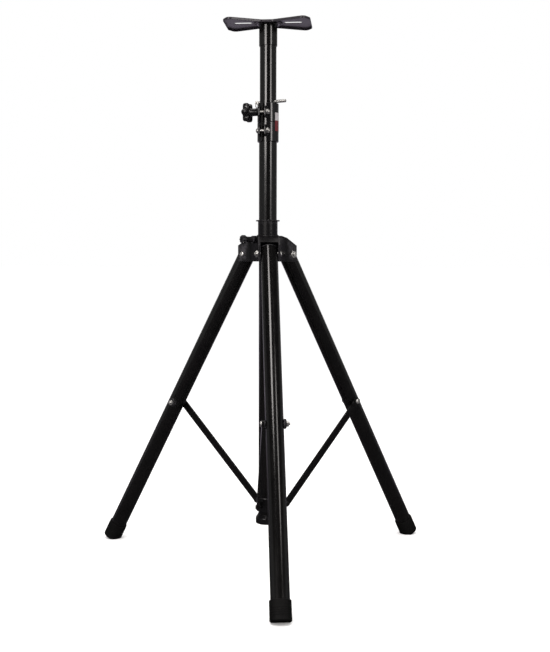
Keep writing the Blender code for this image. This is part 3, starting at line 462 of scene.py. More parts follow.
def joint_azimuth(name: str) -> float:
    """Return the direction of a joint's point round the pole, in radians."""
    spot = joint_place(name)
    return math.atan2(spot.y, spot.x)


def height_span(node: str) -> Span:
    """Return the lowest and highest Z of a CAD node."""
    low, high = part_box(node)
    return low.z, high.z


def middle_height(node: str) -> float:
    """Return the height of a CAD node's middle."""
    return sum(height_span(node)) / 2


def lock_pin_frame() -> Matrix:
    """Return the lock pin's frame on the pole's axis, with its X against the pull."""
    pull = Vector(JOINTS["lock_pin_pull"]["axis"])
    return outward(math.atan2(-pull.y, -pull.x), 0.0, middle_height("lock_pin"))


def arc(x: float, y: float, radius: float, start: float, end: float, count: int = DOME_STEPS) -> Profile:
    """Return points on an arc.

    Args:
        x: First coordinate of the centre.
        y: Second coordinate of the centre.
        radius: The arc's radius.
        start: First angle, in degrees.
        end: Last angle, in degrees.
        count: Number of steps.

    Returns:
        The points, both ends included.
    """
    turns = [math.radians(start + (end - start) * i / count) for i in range(count + 1)]
    return [(x + radius * math.cos(turn), y + radius * math.sin(turn)) for turn in turns]


def circle(x: float, y: float, radius: float, count: int = SMALL_STEPS) -> Profile:
    """Return points round a full circle."""
    return arc(x, y, radius, 0.0, 360.0, count)[:-1]


def dome(flat: float, wide: float, low: float, top: float) -> Profile:
    """Return the quarter of an ellipse from a flat crown down to a rim.

    Args:
        flat: Radius of the crown.
        wide: Radius of the rim.
        low: Height of the rim.
        top: Height of the crown.

    Returns:
        Points of (radius, height).
    """
    turns = [math.pi / 2 * i / DOME_STEPS for i in range(DOME_STEPS + 1)]
    return [(flat + (wide - flat) * math.sin(turn), low + (top - low) * math.cos(turn)) for turn in turns]


def rounded(corners: Profile, radius: float) -> Profile:
    """Return an outline whose corners are arcs tangent to both edges.

    Args:
        corners: The sharp outline.
        radius: Corner radius.

    Returns:
        The rounded outline.
    """
    outline: Profile = []
    total = len(corners)
    for i, corner in enumerate(corners):
        here = Vector(corner)
        before = (Vector(corners[i - 1]) - here).normalized()
        after = (Vector(corners[(i + 1) % total]) - here).normalized()
        half = before.angle(after) / 2
        centre = here + (before + after).normalized() * radius / math.sin(half)
        run = radius / math.tan(half)
        first, last = here + before * run - centre, here + after * run - centre
        start = math.atan2(first.y, first.x)
        sweep = math.atan2(last.y, last.x) - start
        sweep = (sweep + math.pi) % FULL_TURN - math.pi
        end = start + sweep
        outline += arc(centre.x, centre.y, radius, math.degrees(start), math.degrees(end), CORNER_STEPS)
    return outline


def ring_profile(outer: float, inner: float, low: float, high: float, edge: float = TUBE_RIM) -> Profile:
    """Return the closed profile of a tube whose outer rims are rounded.

    Args:
        outer: Outer radius.
        inner: Inner radius.
        low: Lower end.
        high: Upper end.
        edge: Radius of the rounded rims.

    Returns:
        The profile, for a closed spin.
    """
    upper = arc(outer - edge, high - edge, edge, 90, 0, RIM_STEPS)
    lower = arc(outer - edge, low + edge, edge, 0, -90, RIM_STEPS)
    return [*upper, *lower, (inner, low), (inner, high)]


def bead_section(radius: float, turn: float, height: float, half: Span, sides: int) -> list[Point]:
    """Return one oval cross section of a bead that runs round Z.

    Args:
        radius: Distance of the bead's middle from Z.
        turn: Direction of the section, in radians.
        height: Height of the bead's middle.
        half: Half the bead's width and half its height.
        sides: Number of points.

    Returns:
        The section's points.
    """
    section = []
    for i in range(sides):
        side = FULL_TURN * i / sides
        reach = radius + half[0] * math.cos(side)
        section.append((reach * math.cos(turn), reach * math.sin(turn), height + half[1] * math.sin(side)))
    return section


def link(name: str, data: bpy.types.ID, at: Matrix) -> Piece:
    """Link a mesh, curve, light or camera as a new object.

    Args:
        name: Name of the object.
        data: What the object holds.
        at: Local frame of the object.

    Returns:
        The new object.
    """
    thing = bpy.data.objects.new(name, data)
    bpy.context.scene.collection.objects.link(thing)
    thing.matrix_world = at
    return thing


def take_mesh(name: str, work: bmesh.types.BMesh, at: Matrix) -> Piece:
    """Weld a work mesh, face it outward and link it.

    Args:
        name: Name of the object.
        work: The mesh in the making, which is freed.
        at: Local frame of the object.

    Returns:
        The new object.
    """
    bmesh.ops.remove_doubles(work, verts=work.verts, dist=MERGE)
    bmesh.ops.recalc_face_normals(work, faces=work.faces)
    mesh = bpy.data.meshes.new(name)
    work.to_mesh(mesh)
    work.free()
    return link(name, mesh, at)


def as_mesh(thing: Piece) -> bpy.types.Mesh:
    """Return an object's evaluated shape as a new mesh."""
    return bpy.data.meshes.new_from_object(thing.evaluated_get(bpy.context.evaluated_depsgraph_get()))


def order_faces(work: bmesh.types.BMesh, per_step: int) -> None:
    """Order the faces of each step of a spin by their corners, because a spin leaves them to chance.

    Args:
        work: The mesh in the making, just spun.
        per_step: Faces that each step has made.
    """
    work.faces.index_update()
    ranked = sorted(work.faces, key=lambda face: (face.index // per_step,
                                                  sorted(tuple(corner.co) for corner in face.verts)))
    for rank, face in enumerate(ranked):
        face.index = rank
    work.faces.sort()


def spun(name: str, profile: Profile, at: Matrix = IDENTITY, steps: int = TUBE_STEPS,
         closed: bool = False) -> Piece:
    """Turn a profile round Z.

    Args:
        name: Name of the object.
        profile: Points of (radius, height).
        at: Local frame of the object.
        steps: Steps round the axis.
        closed: Whether the profile is a loop that doesn't touch the axis.

    Returns:
        The turned object.
    """
    work = bmesh.new()
    chain = [work.verts.new((radius, 0.0, height)) for radius, height in profile]
    pairs = list(zip(chain, chain[1:]))
    if closed:
        pairs.append((chain[-1], chain[0]))
    edges = [work.edges.new(pair) for pair in pairs]
    bmesh.ops.spin(work, geom=chain + edges, cent=(0, 0, 0), axis=(0, 0, 1), angle=FULL_TURN, steps=steps)
    order_faces(work, len(pairs))
    return take_mesh(name, work, at)


def rod(name: str, radius: float, low: float, high: float, at: Matrix = IDENTITY,
        steps: int = SMALL_STEPS) -> Piece:
    """Turn a plain rod, for a hole or a cut."""
    return spun(name, [(0.0, high), (radius, high), (radius, low), (0.0, low)], at, steps)


def loft(name: str, rings: list[list[Point]], at: Matrix = IDENTITY, endless: bool = False) -> Piece:
    """Join rings of equal count with faces.

    Args:
        name: Name of the object.
        rings: Rings of points, from one end to the other.
        at: Local frame of the object.
        endless: Whether the last ring joins the first, where otherwise both ends are closed.

    Returns:
        The closed object.
    """
    work = bmesh.new()
    rows = [[work.verts.new(point) for point in ring] for ring in rings]
    pairs = list(zip(rows, rows[1:]))
    if endless:
        pairs.append((rows[-1], rows[0]))
    count = len(rows[0])
    for lower, upper in pairs:
        for i in range(count):
            j = (i + 1) % count
            work.faces.new((lower[i], lower[j], upper[j], upper[i]))
    if not endless:
        work.faces.new(rows[0])
        work.faces.new(rows[-1])
    return take_mesh(name, work, at)


def slab(name: str, outlines: list[Profile], thickness: float, at: Matrix = IDENTITY,
         edge: float = 0.0) -> Piece:
    """Extrude outlines about their plane and round the rims.

    Args:
        name: Name of the object.
        outlines: The outside first, then any holes.
        thickness: Thickness of the slab along Z.
        at: Local frame of the object.
        edge: Radius of the rounded rims, or 0 for sharp ones.

    Returns:
        The slab.
    """
    curve = bpy.data.curves.new(name, "CURVE")
    curve.dimensions = "2D"
    curve.fill_mode = "BOTH"
    curve.extrude = thickness / 2
    for outline in outlines:
        spline = curve.splines.new("POLY")
        spline.points.add(len(outline) - 1)
        for point, (x, y) in zip(spline.points, outline):
            point.co = (x, y, 0.0, 1.0)
        spline.use_cyclic_u = True
    drawing = link(f"{name}_drawing", curve, IDENTITY)
    solid = as_mesh(drawing)
    bpy.data.objects.remove(drawing, do_unlink=True)
    work = bmesh.new()
    work.from_mesh(solid)
    bpy.data.meshes.remove(solid)
    bmesh.ops.remove_doubles(work, verts=work.verts, dist=MERGE)
    bmesh.ops.recalc_face_normals(work, faces=work.faces)
    bmesh.ops.dissolve_limit(work, angle_limit=FLAT_ANGLE, verts=work.verts, edges=work.edges)
    if edge:
        level = [side for side in work.edges if abs(side.verts[0].co.z - side.verts[1].co.z) < MERGE]
        rims = [side for side in level if len(side.link_faces) == 2]
        bmesh.ops.bevel(work, geom=rims, offset=edge, segments=RIM_STEPS, profile=0.5, affect="EDGES",
                        clamp_overlap=True)
    return take_mesh(name, work, at)


def box_block(name: str, low: Point, high: Point, at: Matrix = IDENTITY) -> Piece:
    """Make a box, for a cut.

    Args:
        name: Name of the object.
        low: Lowest local corner.
        high: Highest local corner.
        at: Local frame of the object.

    Returns:
        The box.
    """
    corners = [(low[0], low[1]), (high[0], low[1]), (high[0], high[1]), (low[0], high[1])]
    return loft(name, [[(x, y, z) for x, y in corners] for z in (low[2], high[2])], at)


def combine(target: Piece, tools: tuple[Piece, ...], how: Solid) -> Piece:
    """Apply one Boolean for each tool and remove the tools.

    Args:
        target: The object that is kept.
        tools: The objects that cut it, join it or bound it.
        how: What the tools do.

    Returns:
        The target.
    """
    for tool in tools:
        modifier = target.modifiers.new(tool.name, "BOOLEAN")
        modifier.operation = how.value
        modifier.solver = "EXACT"
        modifier.object = tool
    old = target.data
    target.data = as_mesh(target)
    target.data.name = target.name
    target.modifiers.clear()
    bpy.data.meshes.remove(old)
    for tool in tools:
        bpy.data.objects.remove(tool, do_unlink=True)
    return target


def cut(target: Piece, *tools: Piece) -> Piece:
    """Cut each tool out of a piece."""
    return combine(target, tools, Solid.CUT)


def join(target: Piece, *tools: Piece) -> Piece:
    """Unite each tool with a piece."""
    return combine(target, tools, Solid.UNITE)


def threaded(radius: float, low: float, high: float, pitch: float = FINE_PITCH) -> Profile:
    """Return the outer side of a screw thread, from its upper end down.

    Args:
        radius: Outer radius of the thread.
        low: Lower end.
        high: Upper end.
        pitch: Distance from crest to crest.

    Returns:
        Points of (radius, height).
    """
    depth = THREAD_DEPTH * pitch
    root = radius - depth
    profile: Profile = []
    for i in range(int((high - low - depth) / pitch)):
        top = high - i * pitch
        profile += [(radius, top), (radius, top - THREAD_CREST * pitch), (root, top - THREAD_ROOT * pitch)]
    return [*profile, (root, low + depth), (root - depth, low)]


@dataclass(frozen=True)
class Bolt:
    """A bolt with a domed head, a threaded end and, where its width isn't 0, a hexagon socket."""

    radius: float
    head: float
    head_height: float
    socket: float = 0.0

    def make(self, name: str, at: Matrix, seat: float, end: float, thread_top: float) -> Piece:
        """Turn the bolt and cut its socket.

        Args:
            name: Name of the object.
            at: Local frame, with the head up its Z.
            seat: Height of the head's underside.
            end: Height of the shank's far end.
            thread_top: Height where the thread starts.

        Returns:
            The bolt.
        """
        head, top = self.head, seat + self.head_height
        profile = [(0.0, top), *dome(HEAD_FLAT * head, head, seat + HEAD_RIM * self.head_height, top)]
        profile += [(head, seat + HEAD_CHAMFER), (head - HEAD_CHAMFER, seat), (self.radius, seat)]
        profile += [*threaded(self.radius, end, thread_top), (0.0, end)]
        bolt = spun(name, profile, at, SMALL_STEPS)
        if self.socket:
            floor = top - SOCKET_DEPTH * self.head_height
            corner = self.socket / math.sqrt(3)
            cut(bolt, rod(f"{name}_socket", corner, floor, top + CUT_MARGIN, at, HEX_STEPS))
        return bolt


@dataclass(frozen=True)
class Nut:
    """A six-sided nut with chamfered corners, for a thread of a given radius."""

    width: float
    height: float
    thread: float

    def make(self, name: str, at: Matrix, seat: float) -> Piece:
        """Make the nut.

        Args:
            name: Name of the object.
            at: Local frame, with the nut up its Z.
            seat: Height of its lower face.

        Returns:
            The nut.
        """
        corner = self.width / math.sqrt(3)
        top = seat + self.height
        face = NUT_FACE * self.width
        wide = corner + CUT_MARGIN
        above = top + CUT_MARGIN / 4
        below = seat - CUT_MARGIN
        tip = face - (above - top) / NUT_SLOPE
        skirt = top - (wide - face) * NUT_SLOPE
        cone = [(0.0, above), (tip, above), (wide, skirt), (wide, below), (0.0, below)]
        nut = rod(name, corner, seat, top, at, HEX_STEPS)
        combine(nut, (spun(f"{name}_chamfer", cone, at, SMALL_STEPS),), Solid.COMMON)
        return cut(nut, rod(f"{name}_bore", self.thread + CLEARANCE, below, top + CUT_MARGIN, at))


@dataclass(frozen=True)
class Knob:
    """A lobed knob on a round neck.

    The fillet has rows of (radius past the neck, distance behind the head), the two rims rows of
    (inset, distance from that end, share of the dip), and the dish rows of (radius, depth).
    """

    radius: float
    length: float
    neck: float
    lobes: int
    dip: float
    fillet: tuple[Span, ...]
    back_rim: tuple[Point, ...]
    front_rim: tuple[Point, ...]
    dish: tuple[Span, ...]

    def make(self, name: str, at: Matrix, root: Profile, back: float) -> Piece:
        """Loft the knob from its root to its dish.

        Args:
            name: Name of the object.
            at: Local frame, with the knob up its Z.
            root: Points of (radius, height) before the neck's fillet.
            back: Height of the head's rear face.

        Returns:
            The knob.
        """
        wide, front = self.radius, back + self.length
        rings = [self.ring(radius, height) for radius, height in root]
        rings += [self.ring(self.neck + past, back - behind) for past, behind in self.fillet]
        rings += [self.ring(wide - inset, back + rise, share) for inset, rise, share in self.back_rim]
        rings += [self.ring(wide - inset, front - drop, share) for inset, drop, share in self.front_rim]
        rings += [self.ring(radius, front - depth) for radius, depth in self.dish]
        return loft(name, rings, at)

    def ring(self, radius: float, height: float, share: float = 0.0) -> list[Point]:
        """Return one ring, which dips between the lobes.

        Args:
            radius: Radius at the lobes.
            height: Height of the ring.
            share: Share of the full dip.

        Returns:
            The ring's points.
        """
        total = self.lobes * LOBE_STEPS
        points = []
        for i in range(total):
            turn = FULL_TURN * i / total
            reach = radius - self.dip * share * (1 - math.cos(self.lobes * turn))
            points.append((reach * math.cos(turn), reach * math.sin(turn), height))
        return points


class SubAssembly:
    """Steps that every sub-assembly shares."""

    def dress(self, piece: Piece, body: str, finish: Finish, *nodes: str) -> None:
        """Shade a fine piece, give it its finish and set it on its body.

        Args:
            piece: The fine piece, in place.
            body: The body that it rides on.
            finish: Its finish.
            nodes: The CAD nodes that it stands for.
        """
        piece.data.shade_smooth()
        piece.data.set_sharp_from_angle(angle=SHARP_ANGLE)
        piece.modifiers.new("even_shading", "WEIGHTED_NORMAL").keep_sharp = True
        piece.data.materials.clear()
        piece.data.materials.append(finish.material())
        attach(piece, body)
        if nodes:
            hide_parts(*nodes)
        LOG.info("%s rides on %s in %s", piece.name, body, finish.name)

    def paint(self, finish: Finish, *nodes: str) -> None:
        """Give CAD nodes that stay a procedural finish.

        Args:
            finish: Their finish.
            nodes: The CAD nodes.
        """
        for node in nodes:
            piece = frame["nodes"][node]
            piece.data.materials.clear()
            piece.data.materials.append(finish.material())
            LOG.info("%s stays as modelled in %s", node, finish.name)


@dataclass
class Pole(SubAssembly):
    """The outer tube with its end cap and the collar that carries the braces."""

    tube_radius: float = 0.019
    wall: float = 0.0012
    cap_radius: float = 0.025
    cap_skirt: float = 0.016
    cap_round: float = 0.003
    cap_plug_chamfer: float = 0.0015
    cap_lip: float = 0.0004
    cap_step: float = 0.0006
    cap_step_above: float = 0.001
    cap_step_below: float = 0.0005
    cap_recess: float = 0.012
    cap_recess_depth: float = 0.0008
    collar_radius: float = 0.0232
    collar_edge: float = 0.0015
    lug_pin_radius: float = 0.035
    lug_root: float = 0.015
    lug_end: float = 0.007
    lug_outer: float = 0.0205
    lug_thickness: float = 0.003
    lug_edge: float = 0.0004
    notch_flare: float = 0.0022
    pin_radius: float = 0.003
    screw: Bolt = Bolt(radius=0.0025, head=0.0045, head_height=0.003, socket=0.003)
    screw_azimuth: float = math.radians(137.0)
    screw_plain: float = 0.0005

    def build(self) -> None:
        """Build and dress the pole's pieces."""
        low, high = height_span("outer_tube")
        inner = self.tube_radius - self.wall
        shell = spun("fine_outer_tube", ring_profile(self.tube_radius, inner, low, high), closed=True)
        self.dress(shell, "stand", ENAMEL, "outer_tube")
        self.build_cap(low)
        self.build_collar()

    def build_cap(self, tube_end: float) -> None:
        """Turn the end cap that closes the tube's foot.

        Args:
            tube_end: Height of the tube's lower end.
        """
        base, plug_top = height_span("tube_end_cap")
        bore = self.tube_radius - self.wall - CLEARANCE
        socket = self.tube_radius + CLEARANCE
        skirt = tube_end + self.cap_skirt
        seat = tube_end - CLEARANCE
        chamfer, lip, depth = self.cap_plug_chamfer, self.cap_lip, self.cap_recess_depth
        step = skirt - self.cap_skirt / 2
        profile = [(0.0, plug_top), (bore - chamfer, plug_top), (bore, plug_top - chamfer), (bore, seat),
                   (socket, seat), (socket, skirt),
                   *arc(socket + 2 * lip, skirt - lip, lip, 90, 20, RIM_STEPS),
                   (self.cap_radius - self.cap_step, step + self.cap_step_above),
                   (self.cap_radius, step - self.cap_step_below)]
        profile += arc(self.cap_radius - self.cap_round, base + self.cap_round, self.cap_round, 0, -90)
        profile += [(self.cap_recess, base), (self.cap_recess - depth, base + depth), (0.0, base + depth)]
        self.dress(spun("fine_tube_end_cap", profile), "stand", CLAMP_NYLON, "tube_end_cap")

    def build_collar(self) -> None:
        """Make the lower collar with its three lugs and its screw."""
        low, high = height_span("lower_collar")
        middle = middle_height("lower_collar")
        bore = self.tube_radius + CLEARANCE
        profile = ring_profile(self.collar_radius, bore, low, high, self.collar_edge)
        collar = spun("fine_lower_collar", profile, closed=True)
        pin, slot = self.lug_pin_radius, self.pin_radius + CLEARANCE
        drop = self.lug_end + CUT_MARGIN
        lug = [(self.lug_root, -self.lug_end), *arc(pin, 0.0, self.lug_end, -90, 90, SLOT_STEPS),
               (self.lug_root, self.lug_end)]
        notch = [*arc(pin, 0.0, slot, 0, 180, SLOT_STEPS), (pin - slot - self.notch_flare, -drop),
                 (pin + slot, -drop)]
        across = moved(y=self.lug_thickness / 2 - self.lug_outer)
        lugs, notches = [], []
        for leg in LegName:
            place = outward(joint_azimuth(leg.fold), 0.0, middle) @ across @ Z_TO_MINUS_Y
            lugs.append(slab(f"lug_{leg.value}", [lug], self.lug_thickness, place, self.lug_edge))
            notches.append(slab(f"notch_{leg.value}", [notch], self.lug_thickness + CUT_MARGIN, place))
        join(collar, *lugs)
        sideways = outward(self.screw_azimuth, 0.0, middle) @ Z_TO_PLUS_X
        hole = rod("collar_screw_hole", self.screw.radius + CLEARANCE, self.tube_radius - CUT_MARGIN,
                   self.collar_radius + CUT_MARGIN, sideways)
        tube = rod("collar_bore", bore, low - CUT_MARGIN, high + CUT_MARGIN, steps=TUBE_STEPS)
        cut(collar, *notches, tube, hole)
        self.dress(collar, "stand", CLAMP_NYLON, "lower_collar")
        screw = self.screw.make("fine_collar_screw", sideways, self.collar_radius + CLEARANCE, bore,
                                self.collar_radius - self.screw_plain)
        self.dress(screw, "stand", ZINC, "collar_screw")


@dataclass
class Clamp(SubAssembly):
    """The split clamp at the top of the tube, with its bolts, its knob and a plain label."""

    radius: float = 0.0225
    bore: float = 0.0193
    edge: float = 0.0012
    slit: float = 0.010
    cross_slit: float = 0.0016
    ear_root: float = 0.0153
    ear_thickness: float = 0.0035
    ear_end: float = 0.0065
    ear_half_height: float = 0.0125
    ear_corner: float = 0.006
    ear_edge: float = 0.0010
    bolt: Bolt = Bolt(radius=0.003, head=0.0055, head_height=0.006, socket=0.004)
    nut: Nut = Nut(width=0.010, height=0.005, thread=0.003)
    bolt_end: float = 0.002
    stud_radius: float = 0.003
    stud_pitch: float = 0.00125
    stud_in_knob: float = 0.009
    knob: Knob = Knob(radius=0.0215, length=0.0135, neck=0.008, lobes=6, dip=0.0028,
                      fillet=((0.0, 0.0025), (0.0008, 0.0008), (0.003, 0.0)),
                      back_rim=((0.0045, 0.0, 0.7), (0.0020, 0.0007, 1.0), (0.0006, 0.0020, 1.0),
                                (0.0, 0.0040, 1.0)),
                      front_rim=((0.0, 0.0045, 1.0), (0.0006, 0.0022, 1.0), (0.0022, 0.0007, 1.0),
                                 (0.0048, 0.0, 0.8)),
                      dish=((0.0105, 0.0), (0.0098, 0.0006), (0.0092, 0.0016)))
    knob_neck_length: float = 0.0195
    knob_neck_chamfer: float = 0.0006
    knob_foot: float = 0.00575
    knob_foot_length: float = 0.004
    knob_foot_chamfer: float = 0.0004
    label_start: float = math.radians(308.0)
    label_end: float = math.radians(400.0)
    label_top: float = 0.0203
    label_middle: float = 0.0368
    label_bottom: float = 0.0590
    label_thickness: float = 0.00015
    label_gap: float = 0.00002
    label_steps: int = 40

    def build(self) -> None:
        """Build and dress the clamp's pieces."""
        self.low, self.high = height_span("clamp_collar")
        knob = joint_place("clamp_knob_turn")
        self.azimuth = joint_azimuth("clamp_knob_turn")
        self.reach = math.hypot(knob.x, knob.y)
        self.knob_height = knob.z
        self.grip_height = middle_height("clamp_bolt")
        self.ear_outer = self.slit / 2 + self.ear_thickness
        self.build_collar()
        self.build_fasteners()
        self.build_knob()
        self.build_label()
        self.paint(LINER_NYLON, "clamp_liner")

    def ear_frame(self, height: float, turn: Matrix) -> Matrix:
        """Return the frame of a bolt through the ears."""
        return outward(self.azimuth) @ moved(self.reach, 0.0, height) @ turn

    def build_collar(self) -> None:
        """Make the collar with its two pairs of ears, its slit and its cross slit."""
        profile = ring_profile(self.radius, self.bore, self.low, self.high, self.edge)
        collar = spun("fine_clamp_collar", profile, closed=True)
        far = self.reach + self.ear_end
        root, half = self.ear_root, self.ear_half_height
        outline = rounded([(root, -half), (far, -half), (far, half), (root, half)], self.ear_corner)
        across = (self.slit + self.ear_thickness) / 2
        end = self.ear_outer + CUT_MARGIN
        turn = outward(self.azimuth)
        ears, holes = [], []
        for height, hole in ((self.knob_height, self.stud_radius), (self.grip_height, self.bolt.radius)):
            for side in (1, -1):
                place = turn @ moved(0.0, side * across, height) @ Z_TO_MINUS_Y
                name = f"ear_{height:.3f}_{side}"
                ears.append(slab(name, [outline], self.ear_thickness, place, self.ear_edge))
            place = self.ear_frame(height, Z_TO_MINUS_Y)
            holes.append(rod(f"ear_hole_{height:.3f}", hole + CLEARANCE, -end, end, place))
        join(collar, *ears)
        low, high = self.low - CUT_MARGIN, self.high + CUT_MARGIN
        gap, past = self.slit / 2 + MERGE, far + CUT_MARGIN
        slit = box_block("clamp_slit", (0.0, -gap, low), (past, gap, high), turn)
        level = height_span("outer_tube")[1] + self.cross_slit
        wide = self.radius + CUT_MARGIN
        roof = level + self.cross_slit
        cross = box_block("clamp_cross_slit", (0.0, -wide, level), (past, wide, roof), turn)
        cut(collar, rod("clamp_bore", self.bore, low, high, steps=TUBE_STEPS), slit, cross, *holes)
        self.dress(collar, "stand", CLAMP_NYLON, "clamp_collar")

    def build_fasteners(self) -> None:
        """Make the lower bolt with its nut, and the nut of the knob's stud."""
        seat = self.ear_outer + CLEARANCE
        tail = -(seat + self.nut.height + self.bolt_end)
        bolt = self.bolt.make("fine_clamp_bolt", self.ear_frame(self.grip_height, Z_TO_MINUS_Y), seat, tail,
                              -self.slit / 2)
        self.dress(bolt, "stand", ZINC, "clamp_bolt")
        for node, height in (("clamp_nut", self.grip_height), ("clamp_stud_nut", self.knob_height)):
            nut = self.nut.make(f"fine_{node}", self.ear_frame(height, Z_TO_PLUS_Y), seat)
            self.dress(nut, "stand", ZINC, node)

    def build_knob(self) -> None:
        """Make the lobed clamp knob and its threaded stud."""
        place = self.ear_frame(self.knob_height, Z_TO_MINUS_Y)
        start = self.ear_outer + CLEARANCE
        step, back = start + self.knob_foot_length, start + self.knob_neck_length
        foot, foot_chamfer = self.knob_foot, self.knob_foot_chamfer
        neck, neck_chamfer = self.knob.neck, self.knob_neck_chamfer
        root = [(foot - foot_chamfer, start), (foot, start + foot_chamfer), (foot, step),
                (neck - neck_chamfer, step), (neck, step + neck_chamfer)]
        knob = self.knob.make("fine_clamp_knob", place, root, back)
        stud_top = back + self.stud_in_knob
        cut(knob, rod("knob_bore", self.stud_radius + CLEARANCE, 0.0, stud_top + CLEARANCE, place))
        self.dress(knob, "clamp_knob", CLAMP_NYLON, "clamp_knob")
        tail = -(start + self.nut.height + self.bolt_end)
        thread = threaded(self.stud_radius, tail, start, self.stud_pitch)
        profile = [(0.0, stud_top), (self.stud_radius, stud_top), *thread, (0.0, tail)]
        self.dress(spun("fine_clamp_stud", profile, place, SMALL_STEPS), "clamp_knob", ZINC, "clamp_stud")

    def build_label(self) -> None:
        """Lay a plain two-colour label, with no words, on the collar."""
        bands = (("label_upper", self.label_top, self.label_middle, LABEL_WHITE),
                 ("label_lower", self.label_middle, self.label_bottom, LABEL_RED))
        inner, outer = self.radius + self.label_gap, self.radius + self.label_thickness
        for name, top, bottom, finish in bands:
            section = [(inner, self.high - top), (outer, self.high - top), (outer, self.high - bottom),
                       (inner, self.high - bottom)]
            rings = []
            for i in range(self.label_steps + 1):
                turn = self.label_start + (self.label_end - self.label_start) * i / self.label_steps
                rings.append([(reach * math.cos(turn), reach * math.sin(turn), z) for reach, z in section])
            self.dress(loft(name, rings), "stand", finish)


@dataclass
class Mast(SubAssembly):
    """The telescopic mast with its row of pin holes."""

    radius: float = 0.0175
    wall: float = 0.0015
    hole_radius: float = 0.0036
    hole_pitch: float = 0.090
    hole_count: int = 6

    def build(self) -> None:
        """Build and dress the mast tube and paint what is hidden in it."""
        low, high = height_span("mast_tube")
        inner = self.radius - self.wall
        mast = spun("fine_mast_tube", ring_profile(self.radius, inner, low, high), closed=True)
        end = self.radius + CUT_MARGIN
        holes = []
        for i in range(self.hole_count):
            place = lock_pin_frame() @ moved(z=-i * self.hole_pitch) @ Z_TO_PLUS_X
            holes.append(rod(f"pin_hole_{i}", self.hole_radius, -end, end, place))
        self.dress(cut(mast, *holes), "mast", ENAMEL, "mast_tube")
        self.paint(LINER_NYLON, "mast_end_bush", "mast_top_plug")


@dataclass
class LockPin(SubAssembly):
    """The pin through the mast with its split ring."""

    radius: float = 0.0033
    tail: float = 0.022
    tail_chamfer: float = 0.0004
    reach: float = 0.042
    tip_round: float = 0.0015
    tab_length: float = 0.010
    tab_half: float = 0.004
    tab_root_half: float = 0.0024
    tab_thickness: float = 0.0024
    tab_edge: float = 0.0004
    ring_radius: float = 0.0055
    ring_half: Span = (0.0009, 0.0004275)
    ring_rise: float = 0.0009
    ring_turns: float = 1.9
    ring_steps: int = 96
    ring_sides: int = 12

    def build(self) -> None:
        """Build and dress the pin and its ring."""
        place = lock_pin_frame()
        tip, chamfer = self.tip_round, self.tail_chamfer
        profile = [(0.0, self.reach), *arc(self.radius - tip, self.reach - tip, tip, 90, 0),
                   (self.radius, -self.tail + chamfer), (self.radius - chamfer, -self.tail),
                   (0.0, -self.tail)]
        pin = spun("fine_lock_pin", profile, place @ Z_TO_PLUS_X, SMALL_STEPS)
        eye = -(self.tail + self.tab_length / 2)
        root = -self.tail + CUT_MARGIN / 2
        tab = [(root, self.tab_root_half), *arc(eye, 0.0, self.tab_half, 90, 270, SLOT_STEPS),
               (root, -self.tab_root_half)]
        hole = circle(eye, 0.0, self.ring_half[0] + 2 * CLEARANCE, END_STEPS)
        join(pin, slab("pin_tab", [tab, hole[::-1]], self.tab_thickness, place @ Z_TO_MINUS_Y, self.tab_edge))
        self.dress(pin, "lock_pin", ZINC, "lock_pin")
        self.build_ring(place @ moved(eye, 0.0, -self.ring_radius) @ Z_TO_PLUS_X)

    def build_ring(self, place: Matrix) -> None:
        """Wind the split ring as a flat double coil of wire.

        Args:
            place: Frame at the ring's centre, with Z along the ring's axis.
        """
        rings = []
        for i in range(self.ring_steps + 1):
            share = i / self.ring_steps
            turn = FULL_TURN * self.ring_turns * share
            rise = (share - 0.5) * self.ring_rise
            rings.append(bead_section(self.ring_radius, turn, rise, self.ring_half, self.ring_sides))
        self.dress(loft("fine_pin_ring", rings, place), "lock_pin", ZINC, "pin_ring")


